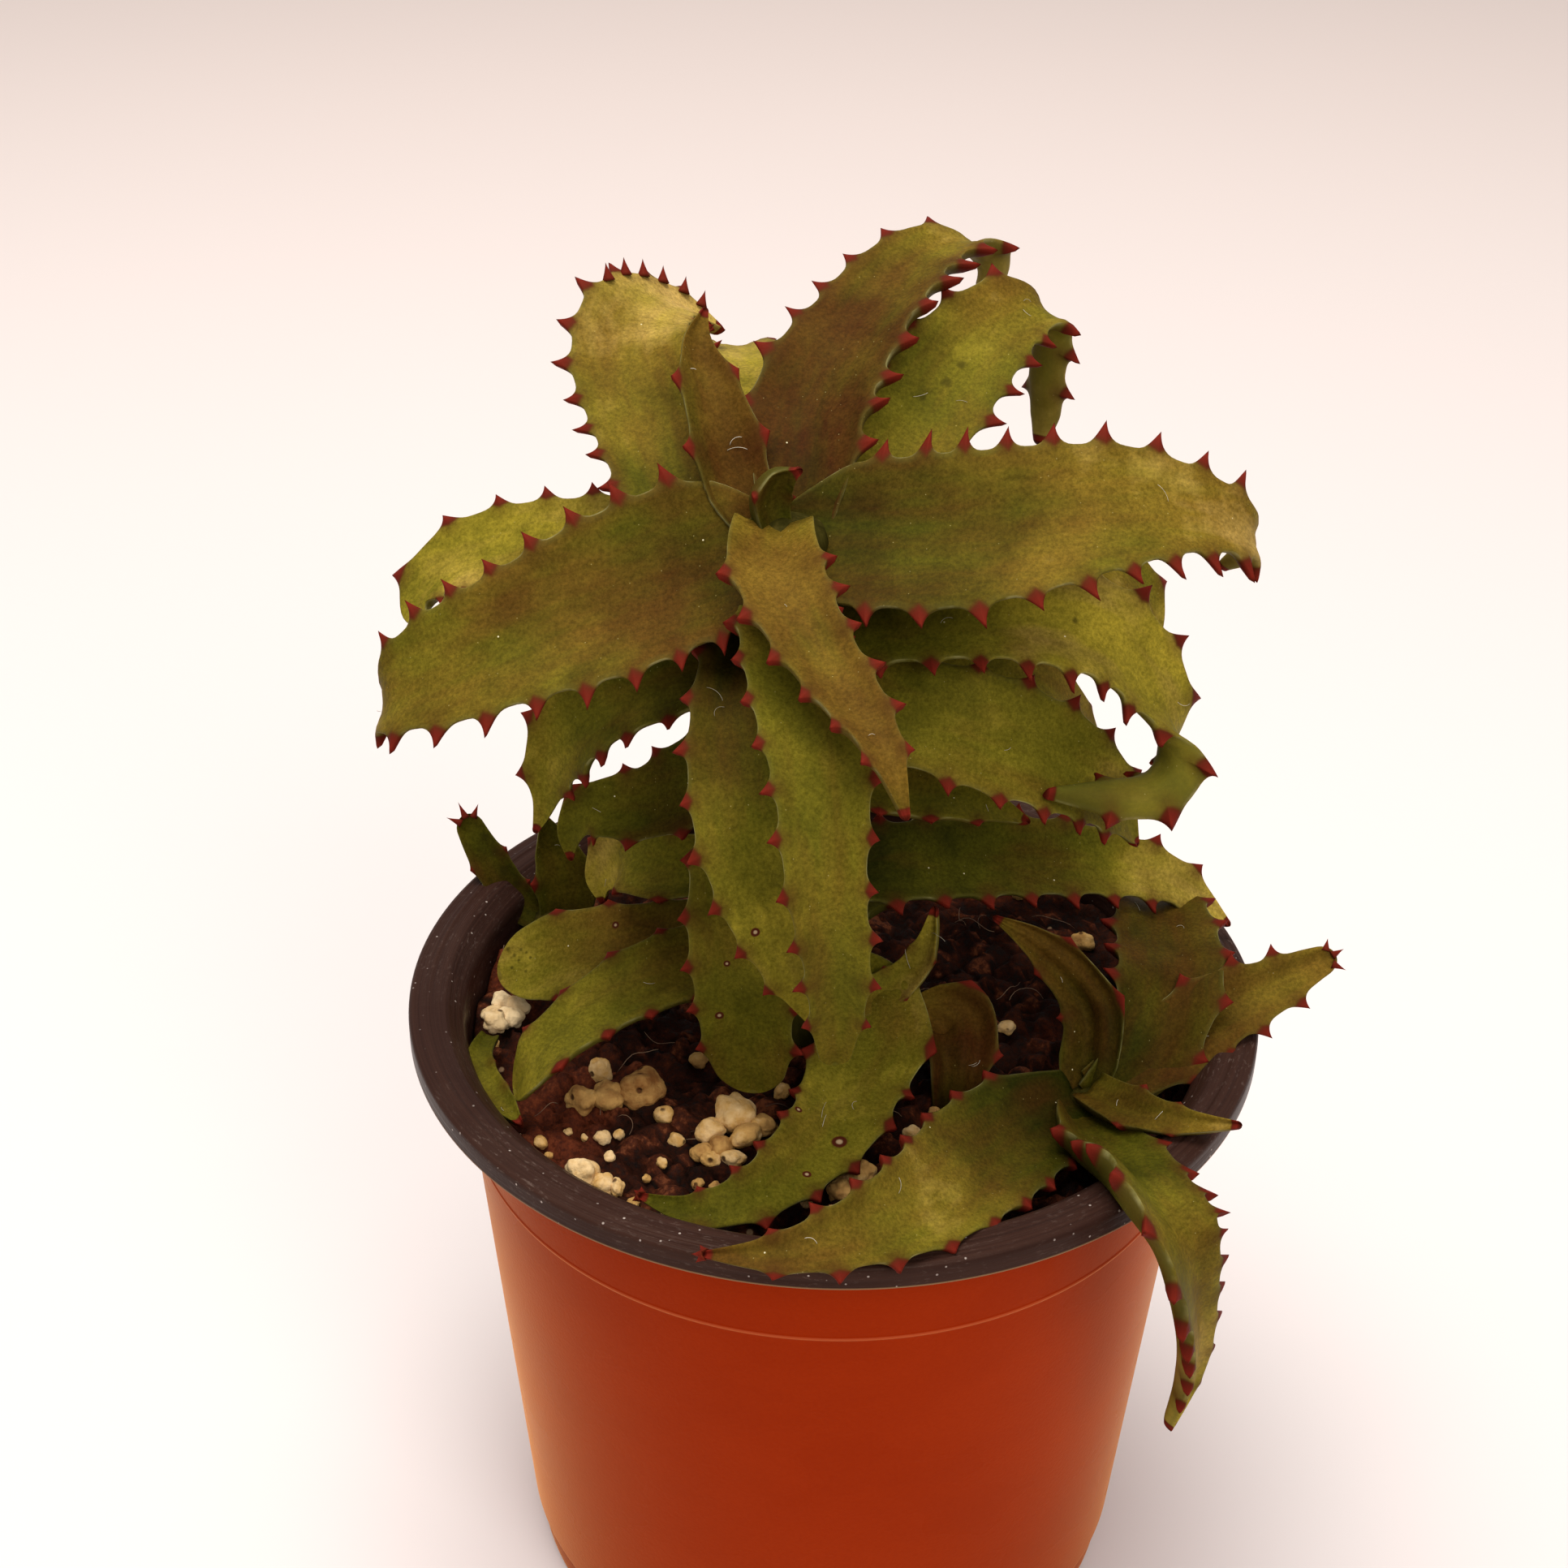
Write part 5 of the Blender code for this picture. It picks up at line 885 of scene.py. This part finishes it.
class Finish:
    """A Principled material, with short calls for the shader nodes that these finishes use."""

    def __init__(self, name):
        self.material = bpy.data.materials.new(name)
        self.material.use_nodes = True
        self.tree = self.material.node_tree
        self.shader = self.tree.nodes["Principled BSDF"]
        self.place = self.node("ShaderNodeTexCoord").outputs["Object"]
        self.colour = None

    def node(self, kind, **settings):
        made = self.tree.nodes.new(kind)
        for key, value in settings.items():
            setattr(made, key, value)
        return made

    def plug(self, socket, value):
        if isinstance(value, bpy.types.NodeSocket):
            self.tree.links.new(value, socket)
        elif socket.type == "RGBA":
            socket.default_value = (*value, 1.0)
        else:
            socket.default_value = value

    def plug_all(self, made, *values):
        for socket, value in zip(made.inputs, values):
            self.plug(socket, value)
        return made.outputs

    def math(self, operation, a, b=0.0, clamp=False):
        made = self.node("ShaderNodeMath", operation=operation, use_clamp=clamp)
        return self.plug_all(made, a, b)[0]

    def times(self, a, b):
        return self.math("MULTIPLY", a, b)

    def plus(self, a, b, clamp=False):
        return self.math("ADD", a, b, clamp)

    def scaled(self, place, sizes):
        made = self.node("ShaderNodeVectorMath", operation="MULTIPLY")
        return self.plug_all(made, place, sizes)[0]

    def distance(self, place, point):
        made = self.node("ShaderNodeVectorMath", operation="DISTANCE")
        return self.plug_all(made, place, point)["Value"]

    def joined(self, x, y, z):
        return self.plug_all(self.node("ShaderNodeCombineXYZ"), x, y, z)[0]

    def split(self, vector):
        return self.plug_all(self.node("ShaderNodeSeparateXYZ"), vector)

    def value(self, name):
        return self.node("ShaderNodeAttribute", attribute_name=name).outputs["Fac"]

    def ranged(self, value, low, high, out_low=0.0, out_high=1.0, smooth=False):
        kind = "SMOOTHSTEP" if smooth else "LINEAR"
        made = self.node("ShaderNodeMapRange", interpolation_type=kind)
        return self.plug_all(made, value, low, high, out_low, out_high)[0]

    def mix(self, share, a, b, blend="MIX"):
        made = self.node("ShaderNodeMix", data_type="RGBA", blend_type=blend, clamp_factor=True)
        self.plug(made.inputs["Factor"], share)
        self.plug(made.inputs[6], a)
        self.plug(made.inputs[7], b)
        return made.outputs[2]

    def coat(self, share, colour):
        """Lays a share of another colour over the finish's own."""
        self.colour = self.mix(share, self.colour, colour)

    def ramp(self, value, stops):
        made = self.node("ShaderNodeValToRGB")
        made.color_ramp.elements.remove(made.color_ramp.elements[1])
        made.color_ramp.elements[0].position = stops[0][0]
        made.color_ramp.elements[0].color = (*stops[0][1], 1.0)
        for position, colour in stops[1:]:
            made.color_ramp.elements.new(position).color = (*colour, 1.0)
        self.plug(made.inputs["Fac"], value)
        return made.outputs["Color"]

    def noise(self, scale, detail=2.0, roughness=0.5, place=None):
        """Noise at a scale, or at three of them as one for each direction of the place."""
        place = place or self.place
        if isinstance(scale, tuple):
            place, scale = self.scaled(place, scale), 1.0
        made = self.node("ShaderNodeTexNoise")
        for key, value in zip(("Vector", "Scale", "Detail", "Roughness"),
                              (place, scale, detail, roughness)):
            self.plug(made.inputs[key], value)
        return made.outputs["Fac"]

    def spots(self, scale, radius, share, core=0.6):
        """Small round marks: 1 within that core of the radius round a cell's middle, falling to 0
        at the radius, in that share of the cells."""
        made = self.node("ShaderNodeTexVoronoi")
        self.plug(made.inputs["Vector"], self.place)
        self.plug(made.inputs["Scale"], scale)
        chosen = self.math("LESS_THAN", self.split(made.outputs["Color"])[0], share)
        mark = self.ranged(made.outputs["Distance"], radius, radius * core, smooth=True)
        return self.times(mark, chosen)

    def bump(self, height, distance, strength=1.0, under=None):
        made = self.node("ShaderNodeBump")
        made.inputs["Strength"].default_value = strength
        made.inputs["Distance"].default_value = distance
        self.plug(made.inputs["Height"], height)
        if under is not None:
            self.plug(made.inputs["Normal"], under)
        return made.outputs["Normal"]

    def done(self, rough, normal=None, **sockets):
        self.plug(self.shader.inputs["Base Color"], self.colour)
        self.plug(self.shader.inputs["Roughness"], rough)
        if normal is not None:
            self.plug(self.shader.inputs["Normal"], normal)
        for key, value in sockets.items():
            self.plug(self.shader.inputs[key.replace("_", " ")], value)
        return self.material


def nearest_mark(f, place, marks):
    """Distance to the nearest of some marks on the leaves, each in parts of its own radius."""
    nearest = 9.0
    for number, along, side, radius in marks:
        off = f.distance(place, (LEAF_OFFSET * number + along, side, 0.0))
        nearest = f.math("MINIMUM", nearest, f.math("DIVIDE", off, radius))
    return nearest


def leaf_skin():
    """Fleshy skin: green to yellow by each leaf's tone, which also holds painted shade, with a
    bronze flush in bands, a fine leathery grain, pale specks, dark pores below, a thin pale line
    along the margin, red thorns, scars and dots."""
    f = Finish("aloe_skin")
    across, along, thorn, under = (f.value(name) for name in ("across", "along", "thorn", "under"))
    side = f.times(across, f.value("wide"))
    skin = f.joined(side, along, under)
    bands = f.noise((0.22, 0.042, 1.0), 3.0, 0.6, skin)
    streaks = f.noise((0.75, 0.22, 1.0), 3.0, 0.6, skin)
    clouds = f.noise(120.0, 3.0, 0.55)
    patches = f.noise(65.0, 2.0, 0.5)
    grain = f.noise(2100.0, 4.0, 0.75)
    # each leaf's tone holds painted shade as well as its colour
    tone = f.plus(f.value("tone"), f.ranged(clouds, 0.3, 0.7, -0.15, 0.15))
    tone = f.plus(tone, f.ranged(streaks, 0.3, 0.7, -0.05, 0.05))
    green = f.ramp(tone, [(0.0, (0.017, 0.018, 0.0018)), (0.35, (0.060, 0.055, 0.0040)),
                          (0.65, (0.130, 0.108, 0.0085)), (1.0, (0.32, 0.245, 0.022))])
    brown = f.ramp(tone, [(0.0, (0.042, 0.012, 0.003)), (0.35, (0.085, 0.043, 0.006)),
                          (0.65, (0.155, 0.092, 0.011)), (1.0, (0.44, 0.29, 0.078))])
    flush = f.plus(f.value("bronze"), f.ranged(bands, 0.32, 0.68, -0.35, 0.35))
    flush = f.plus(flush, f.ranged(patches, 0.35, 0.65, -0.35, 0.35), clamp=True)
    f.colour = f.mix(flush, green, brown)
    # darker bands, then the grain, weaker below
    f.coat(f.ranged(bands, 0.50, 0.75, 0.0, 0.30), (0.040, 0.022, 0.003))
    shades = f.ramp(grain, [(0.34, (0.68, 0.67, 0.62)), (0.5, (0.98, 0.98, 1.0)),
                            (0.66, (1.32, 1.29, 1.30))])
    grained = f.mix(1.0, f.colour, shades, "MULTIPLY")
    f.coat(f.ranged(under, 0.0, 1.0, 1.0, 0.35), grained)
    # underside and the strip beside the margin: duller and greyer
    f.coat(f.times(under, 0.35), (0.075, 0.072, 0.014))
    edge = f.math("ABSOLUTE", across)
    f.coat(f.ranged(edge, 0.90, 0.97, 0.0, 0.30), (0.095, 0.085, 0.018))
    pores = f.spots(230.0, 0.20, 0.22)
    f.coat(f.times(pores, f.ranged(under, 0.0, 1.0, 0.10, 0.6)), (0.02, 0.014, 0.003))
    f.coat(f.times(f.spots(430.0, 0.055, 0.16), 0.8), (0.72, 0.64, 0.40))
    f.coat(f.times(f.spots(1100.0, 0.09, 0.25), 0.35), (0.50, 0.42, 0.16))
    # scars with a pale middle and a brown ring, then dark dots
    place = f.joined(along, side, 0.0)
    scar = nearest_mark(f, place, SCARS)
    f.coat(f.ranged(scar, 1.20, 0.95), (0.060, 0.012, 0.005))
    f.coat(f.ranged(scar, 0.55, 0.30), (0.36, 0.25, 0.14))
    f.coat(f.ranged(nearest_mark(f, place, DOTS), 1.2, 0.4, 0.0, 0.6), (0.022, 0.018, 0.003))
    # margin, broken here and there, then the blush round a thorn and the thorn itself
    pale = f.times(f.ranged(edge, 0.975, 0.995, smooth=True), f.ranged(thorn, 0.08, 0.25, 0.7, 0.0))
    pale = f.times(pale, f.ranged(f.noise(260.0, 3.0, 0.6), 0.42, 0.66))
    f.coat(f.times(pale, 0.7), (0.30, 0.28, 0.12))
    f.coat(f.times(f.value("blush"), 0.6), (0.060, 0.022, 0.005))
    red = f.ramp(thorn, [(0.2, (0.060, 0.016, 0.005)), (0.45, (0.105, 0.011, 0.006)),
                         (0.8, (0.135, 0.012, 0.007)), (1.0, (0.05, 0.006, 0.003))])
    f.coat(f.ranged(thorn, 0.15, 0.33, smooth=True), red)
    fine = f.bump(grain, 0.00007, 0.5)
    normal = f.bump(f.noise(330.0, 3.0, 0.55), 0.00030, 0.35, fine)
    return f.done(f.ranged(grain, 0.3, 0.7, 0.46, 0.60), normal, Specular_IOR_Level=0.03,
                  Specular_Tint=(1.0, 0.85, 0.40), Subsurface_Weight=0.05,
                  Subsurface_Radius=(0.0020, 0.0014, 0.0005), Subsurface_Scale=1.0)


def stem_bark():
    """A dry olive-brown stem with lengthwise wrinkles."""
    f = Finish("stem_skin")
    wrinkles = f.noise((500.0, 500.0, 120.0), 4.0, 0.6)
    f.colour = f.ramp(wrinkles, [(0.3, (0.014, 0.012, 0.002)), (0.55, (0.036, 0.030, 0.005)),
                                 (0.8, (0.085, 0.060, 0.012))])
    return f.done(0.62, f.bump(wrinkles, 0.0004, 0.7), Specular_IOR_Level=0.02)


def soil_finish():
    """Peaty soil: near-black to red-brown crumbs, each with its own shade, patches and one lump of
    red loam, and a few pale bits."""
    f = Finish("soil_peat")
    dust = f.noise(1500.0, 4.0, 0.6)
    shade = f.plus(f.value("crumb"), f.ranged(dust, 0.3, 0.7, -0.3, 0.3))
    f.colour = f.ramp(shade, [(0.0, (0.006, 0.0022, 0.0012)), (0.45, (0.022, 0.0055, 0.0025)),
                              (0.8, (0.055, 0.013, 0.005)), (1.0, (0.13, 0.038, 0.015))])
    patches = f.ranged(f.noise(45.0, 2.0, 0.5), 0.55, 0.68, 0.0, 0.7)
    flat = f.scaled(f.place, (1.0, 1.0, 0.0))
    lump = f.distance(flat, (LOAM_LUMP[0] * MM, LOAM_LUMP[1] * MM, 0.0))
    loam = f.math("MAXIMUM", patches, f.ranged(lump, 0.0065, 0.0035))
    f.coat(loam, f.mix(f.ranged(dust, 0.35, 0.65), (0.055, 0.010, 0.004), (0.15, 0.032, 0.012)))
    f.coat(f.times(f.spots(330.0, 0.16, 0.05), 0.8), (0.45, 0.28, 0.15))
    normal = f.bump(f.noise(700.0, 5.0, 0.65), 0.0006, 0.8)
    return f.done(f.ranged(dust, 0.35, 0.65, 0.5, 0.95), normal, Specular_IOR_Level=0.06)


def pumice_finish():
    """Cream pumice: tan to cream by each grain's crumb value, which holds painted light and shade,
    and in patches, with small dark pores.
    """
    f = Finish("pumice_cream")
    patch = f.noise(420.0, 3.0, 0.6)
    # the crumb value holds painted light and shade, set per cluster
    shade = f.plus(f.times(f.value("crumb"), 0.75), f.ranged(patch, 0.3, 0.7, -0.1, 0.35))
    f.colour = f.ramp(shade, [(0.0, (0.22, 0.085, 0.022)), (0.45, (0.54, 0.31, 0.095)),
                              (1.0, (0.87, 0.66, 0.38))])
    pore = f.spots(620.0, 0.30, 0.22, core=0.4)
    f.coat(f.times(pore, 0.9), (0.07, 0.022, 0.008))
    height = f.math("SUBTRACT", f.noise(1500.0, 4.0, 0.6), f.times(pore, 1.4))
    return f.done(0.92, f.bump(height, 0.00035, 0.8), Specular_IOR_Level=0.1)


def thread_finish(name, scale, dark, pale, rough, relief):
    """Dry thread or fibre, from dark to pale in stretches along it."""
    f = Finish(name)
    f.colour = f.ramp(f.noise(scale, 2.0), [(0.35, dark), (0.65, pale)])
    return f.done(rough, f.bump(f.noise(2500.0), relief))


def pot_finish(name, **gloss):
    """Two-coloured thin plastic: orange outside, brown-black on the rim and inside.

    The dark layer is all that lies above the skirt's foot or inside the middle of the wall. The
    orange has faint drawing lines round it and a painted highlight along the fine ring; the dark
    one has turned rings, dust specks and short scuffs.
    """
    f = Finish(name)
    x, y, z = f.split(f.place)
    radius = f.math("SQRT", f.plus(f.times(x, x), f.times(y, y)))
    turn = f.math("ARCTAN2", y, x)
    slope = (WALL_TOP_RADIUS - WALL_FOOT_RADIUS) / (POT_HEIGHT - RIM_THICKNESS - FOOT_HEIGHT)
    middle = f.plus(f.times(z, slope), (WALL_FOOT_RADIUS - slope * FOOT_HEIGHT - 0.5 * WALL) * MM)
    inside = f.times(f.math("LESS_THAN", radius, middle),
                     f.math("GREATER_THAN", z, DARK_INSIDE_FROM * MM))
    dark = f.math("MAXIMUM", inside, f.math("GREATER_THAN", z, DARK_RIM_FROM * MM))
    # orange
    drawn = f.noise((1.6, 60.0, 1.0), 3.0, 0.5, f.joined(turn, z, 0.0))
    speck = f.noise(1900.0, 2.0, 0.6)
    f.colour = f.mix(f.ranged(drawn, 0.35, 0.65), (0.270, 0.0170, 0.0010), (0.300, 0.0210, 0.0015))
    f.coat(f.ranged(speck, 0.35, 0.65, 0.0, 0.16), (0.20, 0.009, 0.001))
    # painted highlight along the fine ring, where the raised ring catches the light
    off_ring = f.math("ABSOLUTE", f.math("SUBTRACT", z, SCRIBED_RING_HEIGHT * MM))
    f.coat(f.times(f.ranged(off_ring, 0.00030, 0.00010, smooth=True), 0.35), (0.62, 0.14, 0.05))
    f.coat(f.times(f.spots(150.0, 0.030, 0.12), 0.5), (0.75, 0.25, 0.10))
    orange = f.colour
    # dark
    hoops = f.joined(turn, radius, z)
    turned = f.noise((1.4, 2600.0, 900.0), 3.0, 0.5, hoops)
    f.colour = f.mix(f.ranged(turned, 0.3, 0.7), (0.024, 0.0100, 0.0075), (0.036, 0.0150, 0.0105))
    cloudy = f.noise(60.0, 3.0, 0.6)
    scuffs = f.ranged(f.noise((40.0, 2200.0, 2200.0), 4.0, 0.7, hoops), 0.56, 0.72)
    scuffs = f.times(scuffs, f.ranged(cloudy, 0.42, 0.62))
    f.coat(f.times(scuffs, 0.5), (0.20, 0.145, 0.12))
    dust = f.times(f.spots(900.0, 0.16, 0.30), f.ranged(cloudy, 0.30, 0.6))
    f.coat(f.times(dust, 0.75), (0.62, 0.52, 0.46))
    f.coat(f.ranged(cloudy, 0.4, 0.75, 0.0, 0.15), (0.085, 0.050, 0.038))
    skirt = POT_HEIGHT - RIM_SKIRT
    foot = f.ranged(z, (skirt + 0.35) * MM, (skirt + 0.15) * MM)
    lip = f.times(foot, f.math("GREATER_THAN", radius, (RIM_RADIUS - 0.3) * MM))
    f.coat(f.times(lip, 0.6), (0.36, 0.20, 0.09))
    f.colour = f.mix(dark, orange, f.colour)
    rough_dark = f.times(f.ranged(turned, 0.3, 0.7, 0.30, 0.40), dark)
    rough_orange = f.times(f.ranged(drawn, 0.3, 0.7, 0.24, 0.32), f.math("SUBTRACT", 1.0, dark))
    grain = f.bump(speck, 0.00005, 0.5)
    lines = f.bump(f.times(turned, dark), 0.00022, 0.6, grain)
    return f.done(f.plus(rough_dark, rough_orange), lines, **gloss)


def floor_finish():
    """Pale paper with painted shade: warmer and pinker far away, where the light falls off, and a
    little greyer near.
    """
    f = Finish("floor_pale")
    # painted shade: the far floor pinker, where the light falls off, the near floor greyer
    far = f.ranged(f.split(f.place)[1], 0.05, 0.9, smooth=True)
    f.colour = f.mix(far, (0.730, 0.680, 0.672), (0.83, 0.71, 0.67))
    f.coat(f.ranged(f.noise(3.0, 2.0), 0.3, 0.7, 0.0, 0.06), (0.70, 0.64, 0.62))
    return f.done(0.9)


# The plant in its pot

def settle(made, slot, *nodes):
    """Stands a piece on the part's one body, in place of the solids that it is for."""
    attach(made, "root")
    if nodes:
        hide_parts(*nodes)


def plant():
    """Every leaf, stem, grain, the soil and the pot, each in place of its own solid."""
    skin, bark, cream = leaf_skin(), stem_bark(), pumice_finish()
    slots = {row["node"]: row["material_slot"] for row in frame["record"]["subparts"]}
    for number, leaf in enumerate(LEAVES, 1):
        settle(leaf_piece(number, leaf, skin), slots.get(leaf.name), leaf.name)
    for name, low, high, axis in STEMS:
        settle(tube_piece(name + "_fine", low, high, axis, bark), "stem", name)
    outside = pot_finish("pot_plastic_orange", Specular_IOR_Level=0.01, Sheen_Weight=0.72,
                         Specular_Tint=(1.0, 0.40, 0.15), Sheen_Roughness=0.35,
                         Sheen_Tint=(1.0, 0.46, 0.14))
    dark = pot_finish("pot_plastic_dark", Specular_IOR_Level=0.06, Specular_Tint=(1.0, 0.75, 0.60))
    settle(pot_piece(outside, dark), "pot_plastic", "pot")
    settle(soil_piece(soil_finish()), "soil", "soil")
    for seed, (name, grains) in enumerate(PUMICE.items(), 20):
        made = grains_piece(name + "_fine", grains, cream, seed, PUMICE_TONE_AND_PAINTED_LIGHT[name])
        settle(made, "pumice", name)
    settle(grains_piece("pumice_small", PUMICE_SMALL, cream, 31, 0.5, 16, 24), "pumice")
    settle(roots_piece(thread_finish(
        "root_thread", 160.0, (0.06, 0.025, 0.012), (0.30, 0.18, 0.10), 0.7, 0.00003)), None)
    settle(lint_piece(thread_finish(
        "pale_lint", 300.0, (0.30, 0.26, 0.18), (0.66, 0.60, 0.48), 0.6, 0.00001)), None)
    settle(extra_thorns(skin), None)


def studio():
    """Floor, soft light from above and in front, and pale surroundings."""
    corners = np.array([(-1, -1, 0), (1, -1, 0), (1, 1, 0), (-1, 1, 0)]) * FLOOR_REACH
    floor = put_mesh("floor", corners, [np.array([[0, 1, 2, 3]])], floor_finish(), smooth=False)
    world = bpy.data.worlds.new("pale_room")
    bpy.context.scene.world = world
    world.use_nodes = True
    back = world.node_tree.nodes["Background"]
    back.inputs["Color"].default_value = ROOM_COLOUR
    back.inputs["Strength"].default_value = ROOM_STRENGTH
    for name, place, target, size, power in LAMPS:
        lamp = bpy.data.lights.new(name, "AREA")
        lamp.shape = "DISK"
        lamp.size = size
        lamp.energy = power
        lamp.color = LAMP_COLOUR
        turned = (Vector(target) - Vector(place)).to_track_quat("-Z", "Y").to_matrix().to_4x4()
        stand(name, lamp).matrix_world = Matrix.Translation(place) @ turned


def camera():
    """The camera, turned by its three angles: right and up are level ones turned by the roll."""
    lens = bpy.data.cameras.new("camera")
    lens.sensor_width = SENSOR
    lens.lens = SENSOR * FOCAL_PIXELS / IMAGE_SIDE
    lens.clip_start = 0.01
    c, s = math.cos(CAMERA_DOWN), math.sin(CAMERA_DOWN)
    forward = Vector((math.sin(CAMERA_TURN) * c, math.cos(CAMERA_TURN) * c, -s))
    level = Vector((math.cos(CAMERA_TURN), -math.sin(CAMERA_TURN), 0.0))
    above = level.cross(forward)
    c, s = math.cos(CAMERA_ROLL), math.sin(CAMERA_ROLL)
    turned = Matrix((c * level + s * above, -s * level + c * above, -forward))
    held = stand("camera", lens)
    held.matrix_world = Matrix.Translation(CAMERA_PLACE) @ turned.transposed().to_4x4()
    bpy.context.scene.camera = held


camera()
plant()
studio()
bpy.context.scene.view_settings.view_transform = "Standard"
